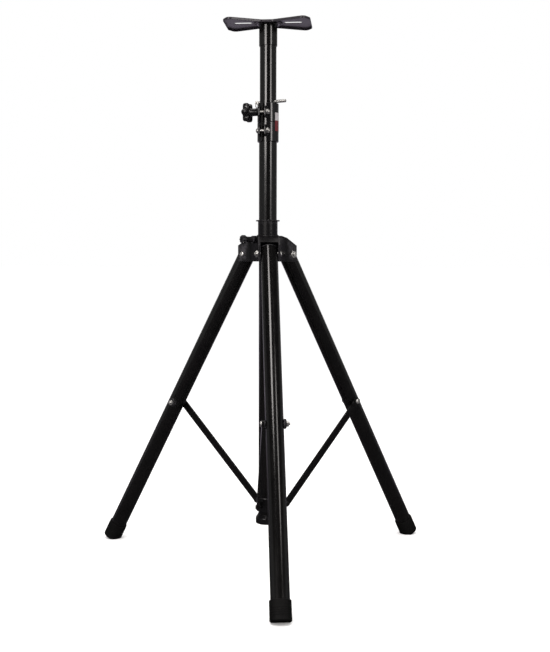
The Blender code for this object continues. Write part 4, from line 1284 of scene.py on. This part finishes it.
@dataclass
class Tray(SubAssembly):
    """The pressed tray on the mast, with its socket, its weld and its screw."""

    azimuth: float = math.radians(-9.0)
    half_length: float = 0.091
    end_half_width: float = 0.060
    end_taper: float = 0.68
    shoulder: float = 0.079
    waist_half_width: float = 0.030
    waist_half_length: float = 0.012
    corner: float = 0.010
    sheet: float = 0.0016
    bend: float = 0.00208
    inner_bend: float = 0.0008
    lip: float = 0.0055
    lip_chamfer: float = 0.00056
    slot_start: float = 0.040
    slot_end: float = 0.066
    slot_half_width: float = 0.00675
    rib_width: float = 0.003
    rib_corner: float = 0.00135
    rib_edge: float = 0.0009
    rib_height: float = 0.0025
    rib_angle: float = math.radians(25.0)
    rib_length: float = 0.028
    socket_bore: float = 0.0178
    socket_wall: float = 0.0014
    socket_length: float = 0.0483
    socket_rim: float = 0.0005
    flange_radius: float = 0.025
    flange_thickness: float = 0.003
    flange_chamfer: float = 0.0004
    flange_round: float = 0.0008
    weld_half: float = 0.0017
    weld_ripple: float = 0.00022
    weld_ripples: int = 40
    weld_steps: int = 240
    weld_sides: int = 10
    screw_radius: float = 0.003
    screw_head: float = 0.00575
    screw_plain: float = 0.001
    screw_length: float = 0.022
    screw_socket: float = 0.004
    screw_socket_depth: float = 0.0022

    def build(self) -> None:
        """Build and dress the tray's pieces."""
        self.bottom, self.top = height_span("tray_plate")
        self.under = self.top - self.sheet
        self.build_plate()
        self.build_socket()
        self.build_screw()

    def outline(self, inset: float) -> Profile:
        """Return the bow-tie outline.

        Args:
            inset: How far the outline is drawn in.

        Returns:
            The rounded outline.
        """
        end, wide = self.half_length - inset, self.end_half_width - inset
        waist, middle = self.waist_half_width - inset, self.waist_half_length
        right = [(end, wide * self.end_taper), (self.shoulder, wide), (middle, waist)]
        upper = right + [(-x, y) for x, y in reversed(right)]
        lower = [(-x, -y) for x, y in upper]
        return rounded(upper + lower, self.corner - inset)

    def build_plate(self) -> None:
        """Loft the plate with its rolled lip, then add ribs and cut the slots and the screw's seat."""
        sheet, bend, inner, chamfer = self.sheet, self.bend, self.inner_bend, self.lip_chamfer
        edge = [*arc(bend, self.top - bend, bend, 90, 180), (0.0, self.bottom + chamfer),
                (chamfer, self.bottom), (sheet - chamfer, self.bottom), (sheet, self.bottom + chamfer),
                *arc(sheet + inner, self.under - inner, inner, 180, 90, EDGE_STEPS)]
        rings = [[(x, y, height) for x, y in self.outline(inset)] for inset, height in edge]
        place = outward(self.azimuth)
        plate = loft("fine_tray_plate", rings, place)
        ribs, slots = [], []
        for side in (1, -1):
            tip, root = side * self.slot_end, side * self.slot_start
            turn = 0 if side > 0 else 180
            slot = [*arc(tip, 0.0, self.slot_half_width, turn - 90, turn + 90, SLOT_STEPS),
                    *arc(root, 0.0, self.slot_half_width, turn + 90, turn + 270, SLOT_STEPS)]
            slots.append(slab(f"tray_slot_{side}", [slot], 4 * self.lip, place @ moved(z=self.under)))
            ribs += [self.rib(place, side, lean) for lean in (1, -1)]
        join(plate, *ribs)
        head = self.screw_head + 3 * CLEARANCE
        hole = self.screw_radius + CLEARANCE
        above = self.top + CUT_MARGIN
        sink = spun("tray_sink", [(0.0, above), (head + CUT_MARGIN, above), (hole, self.top - (head - hole)),
                                  (hole, self.bottom), (0.0, self.bottom)])
        cut(plate, *slots, sink)
        self.dress(plate, "mast", TRAY_ENAMEL, "tray_plate")

    def rib(self, place: Matrix, side: int, lean: int) -> Piece:
        """Return one pressed rib under the plate.

        Args:
            place: The tray's frame.
            side: 1 or -1 for the tray's end.
            lean: 1 or -1 for the rib's side of the slot.

        Returns:
            The rib, ready to join.
        """
        half, length = self.rib_width / 2, self.rib_length
        outline = rounded([(0.0, -half), (length, -half), (length, half), (0.0, half)], self.rib_corner)
        tip = side * (self.flange_radius + CLEARANCE + half) / math.cos(self.rib_angle)
        height = self.rib_height + self.sheet / 2
        spot = moved(tip, 0.0, self.under + self.sheet / 2 - height / 2)
        course = math.atan2(lean * math.cos(self.rib_angle), -side * math.sin(self.rib_angle))
        turn = Matrix.Rotation(course, 4, "Z")
        return slab(f"tray_rib_{side}_{lean}", [outline], height, place @ spot @ turn, self.rib_edge)

    def build_socket(self) -> None:
        """Turn the socket with its flange and lay the weld between them."""
        outer = self.socket_bore + self.socket_wall
        high, low = self.under - CLEARANCE, self.under - self.socket_length
        shelf = high - self.flange_thickness
        flange, chamfer = self.flange_radius, self.flange_chamfer
        under, rim = self.flange_round, self.socket_rim
        profile = [(self.socket_bore, high), (flange - chamfer, high), (flange, high - chamfer),
                   *arc(flange - under, shelf + under, under, 0, -90, RIM_STEPS), (outer, shelf),
                   *arc(outer - rim, low + rim, rim, 0, -90, RIM_STEPS), (self.socket_bore, low)]
        self.dress(spun("fine_tray_socket", profile, closed=True), "mast", ENAMEL, "tray_socket")
        rings = []
        for i in range(self.weld_steps):
            turn = FULL_TURN * i / self.weld_steps
            swell = self.weld_half + self.weld_ripple * math.cos(self.weld_ripples * turn)
            rings.append(bead_section(outer, turn, shelf, (swell, swell), self.weld_sides))
        self.dress(loft("socket_weld", rings, endless=True), "mast", ENAMEL)

    def build_screw(self) -> None:
        """Turn the countersunk screw and cut its socket."""
        face = self.top - CLEARANCE
        root = face - (self.screw_head - self.screw_radius)
        end = face - self.screw_length
        head, shank = self.screw_head, self.screw_radius
        profile = [(0.0, face), (head - HEAD_CHAMFER, face), (head, face - HEAD_CHAMFER), (shank, root),
                   *threaded(shank, end, root - self.screw_plain), (0.0, end)]
        screw = spun("fine_tray_screw", profile, IDENTITY, SMALL_STEPS)
        cut(screw, rod("tray_screw_socket", self.screw_socket / math.sqrt(3), face - self.screw_socket_depth,
                       face + CUT_MARGIN, steps=HEX_STEPS))
        self.dress(screw, "mast", ZINC, "tray_screw")


@dataclass
class Hub(SubAssembly):
    """The sliding hub with three clevises, its ring, its pivot bolts and its thumb screw."""

    bore: float = 0.0193
    core_wall: float = 0.0042
    core_top: float = 0.041
    core_step: float = 0.001
    core_round: float = 0.0012
    core_chamfer: float = 0.0006
    sleeve_wall: float = 0.0016
    sleeve_top: float = 0.070
    sleeve_chamfer: float = 0.0004
    clevis_drop: float = 0.0152
    clevis_reach: float = 0.0105
    clevis_nose: float = 0.019
    clevis_shoulder: float = 0.0355
    clevis_roof: float = 0.025
    cheek_in: float = 0.0186
    cheek_out: float = 0.0231
    cheek_corner: float = 0.0018
    cheek_edge: float = 0.0009
    web_radius: float = 0.0345
    web_fillet: float = 0.0035
    web_run: float = 0.0091
    web_lean: float = math.radians(15.0)
    web_inset: float = 0.001
    roof_inset: float = 0.0006
    bolt: Bolt = Bolt(radius=0.004, head=0.0053, head_height=0.0034, socket=0.0042)
    nut: Nut = Nut(width=0.013, height=0.005, thread=0.004)
    bolt_end: float = 0.003
    ring_radius: float = 0.0255
    ring_thickness: float = 0.0022
    ring_edge: float = 0.0006
    boss_radius: float = 0.008
    boss_reach: float = 0.040
    boss_round: float = 0.001
    lock_radius: float = 0.003
    lock_knob: Knob = Knob(radius=0.009, length=0.011, neck=0.006, lobes=8, dip=0.0008,
                           fillet=((0.0, 0.0005), (0.0005, 0.0)),
                           back_rim=((0.0022, 0.0, 1.0), (0.0006, 0.0005, 1.0), (0.0, 0.0018, 1.0)),
                           front_rim=((0.0, 0.0020, 1.0), (0.0006, 0.0006, 1.0), (0.0024, 0.0, 1.0)),
                           dish=((0.0045, 0.0), (0.0040, 0.0006)))
    lock_knob_reach: float = 0.067

    def build(self) -> None:
        """Build and dress the hub's pieces."""
        pivot = joint_place(LegName.FRONT.fold)
        self.height = pivot.z
        self.pivot_radius = math.hypot(pivot.x, pivot.y)
        self.nose = self.pivot_radius + self.clevis_reach
        self.shoulder = (self.bore + self.pivot_radius) / 2
        self.root = self.bore - CLEARANCE
        lock = joint_place("hub_lock_turn")
        self.lock_frame = outward(joint_azimuth("hub_lock_turn"), 0.0, lock.z) @ Z_TO_PLUS_X
        self.build_body()
        for leg in LegName:
            self.build_pivot(leg)
        seat = self.height + self.sleeve_top + CLEARANCE
        profile = ring_profile(self.ring_radius, self.bore, seat, seat + self.ring_thickness, self.ring_edge)
        self.dress(spun("fine_hub_ring", profile, closed=True), "hub", NYLON, "hub_ring")
        self.build_lock()

    def clevis_frame(self, leg: LegName) -> Matrix:
        """Return the frame of one clevis, at the pivots' height."""
        return outward(joint_azimuth(leg.fold), 0.0, self.height)

    def build_body(self) -> None:
        """Unite the core, the cheeks and roofs of the clevises and the lock boss, then cut the bores."""
        core, sleeve = self.bore + self.core_wall, self.bore + self.sleeve_wall
        top, drop = self.sleeve_top, self.clevis_drop
        edge, corner, chamfer = self.sleeve_chamfer, self.core_round, self.core_chamfer
        place = moved(z=self.height)
        profile = [(self.bore, top), (sleeve - edge, top), (sleeve, top - edge),
                   (sleeve, self.core_top + self.core_step),
                   *arc(core - corner, self.core_top - corner, corner, 90, 0, EDGE_STEPS),
                   (core, -drop + chamfer), (core - chamfer, -drop), (self.bore, -drop)]
        body = spun("fine_hub_body", profile, place, closed=True)
        cheek = rounded([(self.root, -drop), (self.nose, -drop), (self.nose, self.clevis_nose),
                         (self.shoulder, self.clevis_shoulder), (self.root, self.core_top - self.core_step)],
                        self.cheek_corner)
        middle = (self.cheek_in + self.cheek_out) / 2
        thickness = self.cheek_out - self.cheek_in
        end = self.cheek_out + CUT_MARGIN
        parts, cuts = [], []
        for leg in LegName:
            turn = self.clevis_frame(leg)
            for side in (1, -1):
                parts.append(slab(f"cheek_{leg.value}_{side}", [cheek], thickness,
                                  turn @ moved(y=side * middle) @ Z_TO_MINUS_Y, self.cheek_edge))
            parts.append(self.roof(leg, turn))
            cuts.append(rod(f"pivot_hole_{leg.value}", self.bolt.radius + CLEARANCE, -end, end,
                            turn @ moved(self.pivot_radius) @ Z_TO_PLUS_Y))
        parts.append(self.web())
        reach, turned = self.boss_reach, self.boss_round
        boss = [(0.0, reach), *arc(self.boss_radius - turned, reach - turned, turned, 90, 0, EDGE_STEPS),
                (self.boss_radius, self.bore), (0.0, self.bore)]
        parts.append(spun("lock_boss", boss, self.lock_frame, SMALL_STEPS))
        join(body, *parts)
        cuts.append(rod("hub_bore", self.bore, -drop - CUT_MARGIN, top + CUT_MARGIN, place, TUBE_STEPS))
        cuts.append(rod("lock_hole", self.lock_radius + CLEARANCE, 0.0, reach + CUT_MARGIN, self.lock_frame))
        cut(body, *cuts)
        self.dress(body, "hub", NYLON, "hub_body")

    def web(self) -> Piece:
        """Close the hub between its clevises.

        Returns:
            The three webs as one block, ready to join.
        """
        half_gap = math.pi / len(LegName)
        meeting = self.cheek_out / math.sin(half_gap)
        half = (self.web_radius - meeting) * math.tan(half_gap) - self.web_fillet
        out = self.web_radius + self.web_run * math.sin(self.web_lean)
        aside = half + self.web_run * math.cos(self.web_lean)
        side = [(out, -aside), (self.web_radius, -half), (self.web_radius, half), (out, aside)]
        inset, wide = self.web_inset, self.cheek_in + self.web_inset
        low = (self.bore + self.core_wall - inset, -wide, -self.clevis_drop - CUT_MARGIN)
        high = (self.nose + CUT_MARGIN, wide, self.clevis_roof + inset)
        outline: Profile = []
        recesses = []
        for leg in sorted(LegName, key=lambda leg: joint_azimuth(leg.fold)):
            turn = joint_azimuth(leg.fold) + half_gap
            outline += [(x * math.cos(turn) - y * math.sin(turn), x * math.sin(turn) + y * math.cos(turn))
                        for x, y in side]
            recesses.append(box_block(f"recess_{leg.value}", low, high, self.clevis_frame(leg)))
        top, foot = self.clevis_shoulder - inset, inset - self.clevis_drop
        web = slab("hub_web", [outline], top - foot, moved(z=self.height + (top + foot) / 2), self.cheek_edge)
        return cut(web, *recesses)

    def roof(self, leg: LegName, turn: Matrix) -> Piece:
        """Return the roof that spans a clevis above its leg.

        Args:
            leg: The leg under the roof.
            turn: The clevis's frame.

        Returns:
            The roof, ready to join.
        """
        inset = self.roof_inset
        crown = self.clevis_shoulder - inset
        slope = (self.clevis_shoulder - self.clevis_nose) / (self.nose - self.shoulder)
        lip = min(self.shoulder + (crown - self.clevis_roof) / slope, self.nose - inset)
        outline = [(self.root, self.clevis_roof), (lip, self.clevis_roof), (self.shoulder, crown),
                   (self.root, self.core_top - self.core_step - inset)]
        return slab(f"roof_{leg.value}", [outline], 2 * (self.cheek_out - inset), turn @ Z_TO_MINUS_Y)

    def build_pivot(self, leg: LegName) -> None:
        """Make a leg's pivot bolt and nut.

        Args:
            leg: The leg that turns on the bolt.
        """
        place = self.clevis_frame(leg) @ moved(self.pivot_radius)
        seat = self.cheek_out + CLEARANCE
        tail = -(seat + self.nut.height + self.bolt_end)
        bolt = self.bolt.make(f"fine_pivot_bolt_{leg.value}", place @ Z_TO_PLUS_Y, seat, tail, -self.cheek_in)
        self.dress(bolt, "hub", ZINC, f"pivot_bolt_{leg.value}")
        nut = self.nut.make(f"fine_pivot_nut_{leg.value}", place @ Z_TO_MINUS_Y, seat)
        self.dress(nut, "hub", ZINC, f"pivot_nut_{leg.value}")

    def build_lock(self) -> None:
        """Make the thumb screw that locks the hub on the tube."""
        front, length, radius = self.lock_knob_reach, self.lock_knob.length, self.lock_radius
        back = front - length
        start = self.boss_reach + CLEARANCE
        root = [(self.lock_knob.neck, start)]
        knob = self.lock_knob.make("fine_hub_lock_knob", self.lock_frame, root, back)
        screw_end = front - length / 3
        cut(knob, rod("lock_knob_bore", radius + CLEARANCE, start - CUT_MARGIN, screw_end + CLEARANCE,
                      self.lock_frame))
        self.dress(knob, "hub_lock", NYLON, "hub_lock_knob")
        thread = threaded(radius, self.bore, back)
        profile = [(0.0, screw_end), (radius, screw_end), *thread, (0.0, self.bore)]
        screw = spun("fine_hub_lock_screw", profile, self.lock_frame, SMALL_STEPS)
        self.dress(screw, "hub_lock", ZINC, "hub_lock_screw")


@dataclass
class Leg(SubAssembly):
    """One leg with its plug, its foot and the bolt that carries its brace."""

    leg: LegName
    radius: float = 0.018
    wall: float = 0.0012
    reach: float = 0.749
    top: float = 0.012
    plug_lip: float = 0.002
    plug_rim: float = 0.0175
    plug_round: float = 0.001
    plug_depth: float = 0.030
    pivot_radius: float = 0.004
    foot_radius: float = 0.0205
    foot_length: float = 0.038
    foot_end: float = 0.010
    foot_lip: float = 0.001
    foot_round: float = 0.0025
    foot_groove: float = 0.0006
    foot_groove_half: float = 0.00024
    foot_grooves: int = 4
    foot_groove_pitch: float = 0.0042
    bolt: Bolt = Bolt(radius=0.003, head=0.006, head_height=0.0034, socket=0.004)
    nut: Nut = Nut(width=0.010, height=0.004, thread=0.003)
    bolt_end: float = 0.003
    washer_radius: float = 0.010
    washer_flat: float = 0.007
    washer_height: float = 0.005
    spacer_radius: float = 0.007
    spacer_thickness: float = 0.0022
    spacer_edge: float = 0.0003
    bar_outer: float = 0.0248

    def build(self) -> None:
        """Build and dress the leg's pieces."""
        self.name = self.leg.value
        self.body = f"leg_{self.name}"
        pivot = joint_place(self.leg.fold)
        fall = joint_place(self.leg.brace_fold) - pivot
        lean = math.atan2(math.hypot(fall.x, fall.y), -fall.z)
        self.place = outward(joint_azimuth(self.leg.fold), math.hypot(pivot.x, pivot.y), pivot.z, -lean)
        self.bolt_place = self.place @ moved(z=-fall.length)
        self.build_tube()
        self.build_foot()
        self.build_bolt()

    def build_tube(self) -> None:
        """Make the tube and the plug in its top."""
        low = -(self.reach - self.foot_end - CLEARANCE)
        across = self.radius + CUT_MARGIN
        pivots = [rod(f"leg_pivot_hole_{i}", self.pivot_radius + CLEARANCE, -across, across,
                      self.place @ Z_TO_PLUS_Y) for i in range(2)]
        hole = rod("leg_bolt_hole", self.bolt.radius + CLEARANCE, -across, across,
                   self.bolt_place @ Z_TO_PLUS_Y)
        inner = self.radius - self.wall
        profile = ring_profile(self.radius, inner, low, self.top)
        shell = spun(f"fine_leg_tube_{self.name}", profile, self.place, closed=True)
        self.dress(cut(shell, pivots[0], hole), self.body, ENAMEL, f"leg_tube_{self.name}")
        bore, rim, turned = inner - CLEARANCE, self.plug_rim, self.plug_round
        seat = self.top + CLEARANCE
        head, end = seat + self.plug_lip, self.top - self.plug_depth
        profile = [(0.0, head), *arc(rim - turned, head - turned, turned, 90, 0, EDGE_STEPS), (rim, seat),
                   (bore, seat), (bore, end), (0.0, end)]
        plug = spun(f"fine_leg_top_plug_{self.name}", profile, self.place)
        self.dress(cut(plug, pivots[1]), self.body, NYLON, f"leg_top_plug_{self.name}")

    def build_foot(self) -> None:
        """Make the rubber foot with its grip grooves and the flat that it stands on."""
        low, high = -self.reach, self.foot_length - self.reach
        socket, outer = self.radius + CLEARANCE, self.foot_radius
        inside, lip = low + self.foot_end, self.foot_lip
        depth, half = self.foot_groove, self.foot_groove_half
        profile = [(0.0, inside), (socket, inside), (socket, high)]
        profile += arc(outer - lip, high - lip, lip, 90, 0, EDGE_STEPS)
        for i in reversed(range(self.foot_grooves)):
            middle = inside + i * self.foot_groove_pitch
            profile += [(outer, middle + depth), (outer - depth, middle + half),
                        (outer - depth, middle - half), (outer, middle - depth)]
        profile += arc(outer - self.foot_round, low + self.foot_round, self.foot_round, 0, -90)
        profile.append((0.0, low))
        foot = spun(f"fine_foot_cap_{self.name}", profile, self.place)
        wide = self.reach
        cut(foot, box_block("floor_cut", (-wide, -wide, -self.foot_length), (wide, wide, 0.0)))
        self.dress(foot, self.body, RUBBER, f"foot_cap_{self.name}")

    def build_bolt(self) -> None:
        """Make the brace bolt with its spacer, its washer and its nut."""
        head_side, nut_side = self.bolt_place @ Z_TO_MINUS_Y, self.bolt_place @ Z_TO_PLUS_Y
        near = self.radius + CLEARANCE
        washer_top = near + self.washer_height
        seat = washer_top + CLEARANCE
        tail = -(seat + self.nut.height + self.bolt_end)
        bolt = self.bolt.make(f"fine_brace_bolt_{self.name}", head_side, self.bar_outer + CLEARANCE, tail,
                              -self.radius)
        self.dress(bolt, self.body, ZINC, f"brace_bolt_{self.name}")
        bore, wide = self.bolt.radius + CLEARANCE, self.washer_radius
        profile = ring_profile(self.spacer_radius, bore, near, near + self.spacer_thickness, self.spacer_edge)
        spacer = spun(f"fine_brace_spacer_{self.name}", profile, head_side, SMALL_STEPS, True)
        self.dress(spacer, self.body, NYLON, f"brace_spacer_{self.name}")
        crown = dome(self.washer_flat, wide, near + self.washer_height / 3, washer_top)
        profile = [(bore, washer_top), *crown, (wide, near), (bore, near)]
        washer = spun(f"fine_brace_washer_{self.name}", profile, nut_side, SMALL_STEPS, True)
        self.dress(washer, self.body, NYLON, f"brace_washer_{self.name}")
        nut = self.nut.make(f"fine_brace_nut_{self.name}", nut_side, seat)
        self.dress(nut, self.body, ZINC, f"brace_nut_{self.name}")


@dataclass
class Brace(SubAssembly):
    """One flat brace with the pin at its lower end."""

    leg: LegName
    half_width: float = 0.0075
    inner: float = 0.0208
    outer: float = 0.0248
    edge: float = 0.0008
    bolt_radius: float = 0.003
    pin: Bolt = Bolt(radius=0.003, head=0.005, head_height=0.0024)
    pin_end: float = 0.0175
    pin_thread: float = 0.0005
    lug_pin_radius: float = 0.035

    def build(self) -> None:
        """Build and dress the bar and its pin."""
        name = self.leg.value
        body = f"brace_{name}"
        bolt = joint_place(self.leg.brace_fold)
        reach = math.hypot(bolt.x, bolt.y)
        run, fall = reach - self.lug_pin_radius, bolt.z - middle_height("lower_collar")
        length = math.hypot(run, fall)
        place = outward(joint_azimuth(self.leg.brace_fold), reach, bolt.z, math.atan2(run, fall))
        outline = [*arc(0.0, 0.0, self.half_width, 0, 180, END_STEPS),
                   *arc(0.0, -length, self.half_width, 180, 360, END_STEPS)]
        holes = [circle(0.0, 0.0, self.bolt_radius + CLEARANCE)[::-1],
                 circle(0.0, -length, self.pin.radius + CLEARANCE)[::-1]]
        bar = slab(f"fine_brace_bar_{name}", [outline, *holes], self.outer - self.inner,
                   place @ moved(y=-(self.inner + self.outer) / 2) @ Z_TO_MINUS_Y, self.edge)
        self.dress(bar, body, ENAMEL, f"brace_bar_{name}")
        pin = self.pin.make(f"fine_brace_pin_{name}", place @ moved(z=-length) @ Z_TO_MINUS_Y,
                            self.outer + CLEARANCE, self.pin_end, self.pin_end + self.pin_thread)
        self.dress(pin, body, DARK_ZINC, f"brace_pin_{name}")


@dataclass(frozen=True)
class StripLight:
    """A tall light that stands round the pole and faces it, some degrees aside of the camera."""

    name: str
    aside: float
    width: float
    low: float
    high: float
    power: float


@dataclass(frozen=True)
class CeilingLight:
    """A light that hangs overhead and faces down, turned by some degrees."""

    name: str
    place: Point
    turn: float
    width: float
    length: float
    power: float


STRIPS = (
    StripLight("strip_left", aside=-32.0, width=2.04, low=1.387, high=2.285, power=77.0),
    StripLight("strip_right", aside=38.5, width=1.20, low=1.219, high=2.332, power=43.0),
    StripLight("strip_right_low", aside=38.5, width=1.14, low=0.793, high=1.219, power=2.4),
    StripLight("strip_back_left", aside=-140.0, width=1.20, low=0.20, high=4.00, power=6.0),
    StripLight("strip_back_right", aside=140.0, width=1.20, low=0.20, high=4.00, power=6.0),
)
CEILING = (
    CeilingLight("overhead_left", (-0.857, -1.705, 2.6), turn=-43.5, width=0.70, length=1.2, power=34.0),
    CeilingLight("overhead_right", (1.60, -2.37, 2.6), turn=33.7, width=0.60, length=1.3, power=17.0),
    CeilingLight("broad_soft", (0.0, 0.6, 3.4), turn=0.0, width=3.0, length=3.0, power=40.0),
)


@dataclass
class Studio:
    """A plain pale floor, soft light and the camera at the photograph's viewing angle.

    Spans of the glow are cosines from the camera's side of the room, and sines of the height.
    """

    floor_size: float = 900.0
    floor_cells: int = 8
    floor_colour: Colour = (0.96, 0.96, 0.96)
    floor_roughness: float = 0.9
    floor_glint_near: Colour = (0.040, 0.038, 0.042)
    floor_glint_far: Colour = (0.32, 0.285, 0.35)
    floor_glint_span: Span = (1.0, 3.0)
    backdrop: float = 1.0
    ambient: float = 1.06
    mirrored: float = 0.03
    side_glow: float = 0.42
    back_glow: float = 0.12
    glow_sides: Span = (0.92, 0.74)
    glow_back: Span = (-0.90, 0.75)
    glow_top: Span = (0.30, 0.42)
    glow_foot: Span = (-0.15, -0.05)
    light_colour: Colour = (1.0, 0.955, 0.93)
    strip_distance: float = 4.8
    camera_place: Point = (-0.134796, -2.201134, 0.638264)
    camera_yaw: float = math.radians(3.918)
    camera_pitch: float = math.radians(-3.361)
    camera_roll: float = math.radians(0.1495)
    camera_lens: float = 56.776
    camera_sensor: float = 36.0

    def build(self) -> None:
        """Set up the floor, the world, the lights and the camera."""
        self.bearing = -math.pi / 2 - self.camera_yaw
        self.build_floor()
        self.build_world()
        self.build_lights()
        self.build_camera()

    def build_floor(self) -> None:
        """Lay the floor, whose mirror image in the enamel is held back as by a dark surround."""
        work = bmesh.new()
        cells = self.floor_cells
        bmesh.ops.create_grid(work, x_segments=cells, y_segments=cells, size=self.floor_size / 2)
        floor = take_mesh("studio_floor", work, IDENTITY)
        material = bpy.data.materials.new("pale_studio_floor")
        material.use_nodes = True
        tree = material.node_tree
        pale = tree.nodes["Principled BSDF"]
        pale.inputs["Base Color"].default_value = (*self.floor_colour, 1.0)
        pale.inputs["Roughness"].default_value = self.floor_roughness
        pale.inputs["Specular IOR Level"].default_value = 0.0
        spot = add_node(tree, "ShaderNodeNewGeometry").outputs["Position"]
        away = add_node(tree, "ShaderNodeSeparateXYZ", {0: spot}).outputs["Y"]
        far = remap(tree, away, *self.floor_glint_span)
        glint = mix_colour(tree, far, self.floor_glint_near, self.floor_glint_far)
        dark = add_node(tree, "ShaderNodeBsdfDiffuse", {"Color": glint})
        mirrored = add_node(tree, "ShaderNodeLightPath").outputs["Is Glossy Ray"]
        shaders = {0: mirrored, 1: pale.outputs[0], 2: dark.outputs[0]}
        mixer = add_node(tree, "ShaderNodeMixShader", shaders)
        tree.links.new(mixer.outputs[0], tree.nodes["Material Output"].inputs["Surface"])
        floor.data.materials.append(material)

    def build_world(self) -> None:
        """Light the world white to the camera, pale to matt faces and dim to gloss."""
        world = bpy.data.worlds.new("studio_world")
        bpy.context.scene.world = world
        world.use_nodes = True
        tree = world.node_tree
        path = add_node(tree, "ShaderNodeLightPath").outputs
        lit = remap(tree, path["Is Glossy Ray"], 0.0, 1.0, self.ambient, self.mirrored_room(tree))
        seen = remap(tree, path["Is Camera Ray"], 0.0, 1.0, lit, self.backdrop)
        background = tree.nodes["Background"].inputs
        tree.links.new(seen, background["Strength"])
        background["Color"].default_value = (1.0, 1.0, 1.0, 1.0)

    def mirrored_room(self, tree: Tree) -> Socket:
        """Return what gloss sees of the room: dark towards the camera, with a soft glow at both sides.

        Args:
            tree: The world's node tree.

        Returns:
            The strength's socket.
        """
        toward = (math.cos(self.bearing), math.sin(self.bearing), 0.0)
        sight = add_node(tree, "ShaderNodeTexCoord").outputs["Generated"]
        values = {0: sight, 1: toward}
        ahead = add_node(tree, "ShaderNodeVectorMath", values, operation="DOT_PRODUCT").outputs["Value"]
        height = add_node(tree, "ShaderNodeSeparateXYZ", {0: sight}).outputs["Z"]
        beside = multiply(tree, remap(tree, ahead, *self.glow_sides, 0.0, self.side_glow),
                          remap(tree, ahead, *self.glow_back, self.back_glow))
        level = multiply(tree, remap(tree, height, *self.glow_top, 1.0, 0.0),
                         remap(tree, height, *self.glow_foot))
        return compute(tree, Arithmetic.ADD, multiply(tree, beside, level), self.mirrored)

    def build_lights(self) -> None:
        """Stand the tall strips round the pole and hang the lights overhead."""
        inward = Matrix.Rotation(math.pi / 2, 4, "Z") @ Matrix.Rotation(math.pi / 2, 4, "X")
        for strip in STRIPS:
            turn = self.bearing + math.radians(strip.aside)
            place = outward(turn, self.strip_distance, (strip.low + strip.high) / 2) @ inward
            self.area(strip.name, place, strip.width, strip.high - strip.low, strip.power)
        for light in CEILING:
            place = moved(*light.place) @ Matrix.Rotation(math.radians(light.turn), 4, "Z")
            self.area(light.name, place, light.width, light.length, light.power)

    def area(self, name: str, place: Matrix, width: float, length: float, power: float) -> None:
        """Add one area light.

        Args:
            name: Name of the light.
            place: Its frame, whose Z points away from what it lights.
            width: Its width along X.
            length: Its length along Y.
            power: Its power in watts.
        """
        data = bpy.data.lights.new(name, "AREA")
        data.shape = "RECTANGLE"
        data.size = width
        data.size_y = length
        data.energy = power
        data.color = self.light_colour
        link(name, data, place).visible_camera = False

    def build_camera(self) -> None:
        """Place the camera at the photograph's viewpoint."""
        data = bpy.data.cameras.new("photo_camera")
        data.lens = self.camera_lens
        data.sensor_width = self.camera_sensor
        place = moved(*self.camera_place)
        turns = ((-self.camera_yaw, "Z"), (math.pi / 2 + self.camera_pitch, "X"), (self.camera_roll, "Z"))
        for angle, axis in turns:
            place = place @ Matrix.Rotation(angle, 4, axis)
        bpy.context.scene.camera = link("photo_camera", data, place)
        bpy.context.scene.view_settings.view_transform = "Standard"


def main() -> None:
    """Build every sub-assembly in order, then the studio."""
    logging.basicConfig(level=logging.INFO, format="%(message)s")
    parts = [Pole(), Clamp(), Mast(), LockPin(), Tray(), Hub()]
    parts += [Leg(leg) for leg in LegName]
    parts += [Brace(leg) for leg in LegName]
    parts.append(Studio())
    for part in parts:
        LOG.info("building %s", type(part).__name__)
        part.build()


if __name__ == "__main__":
    main()
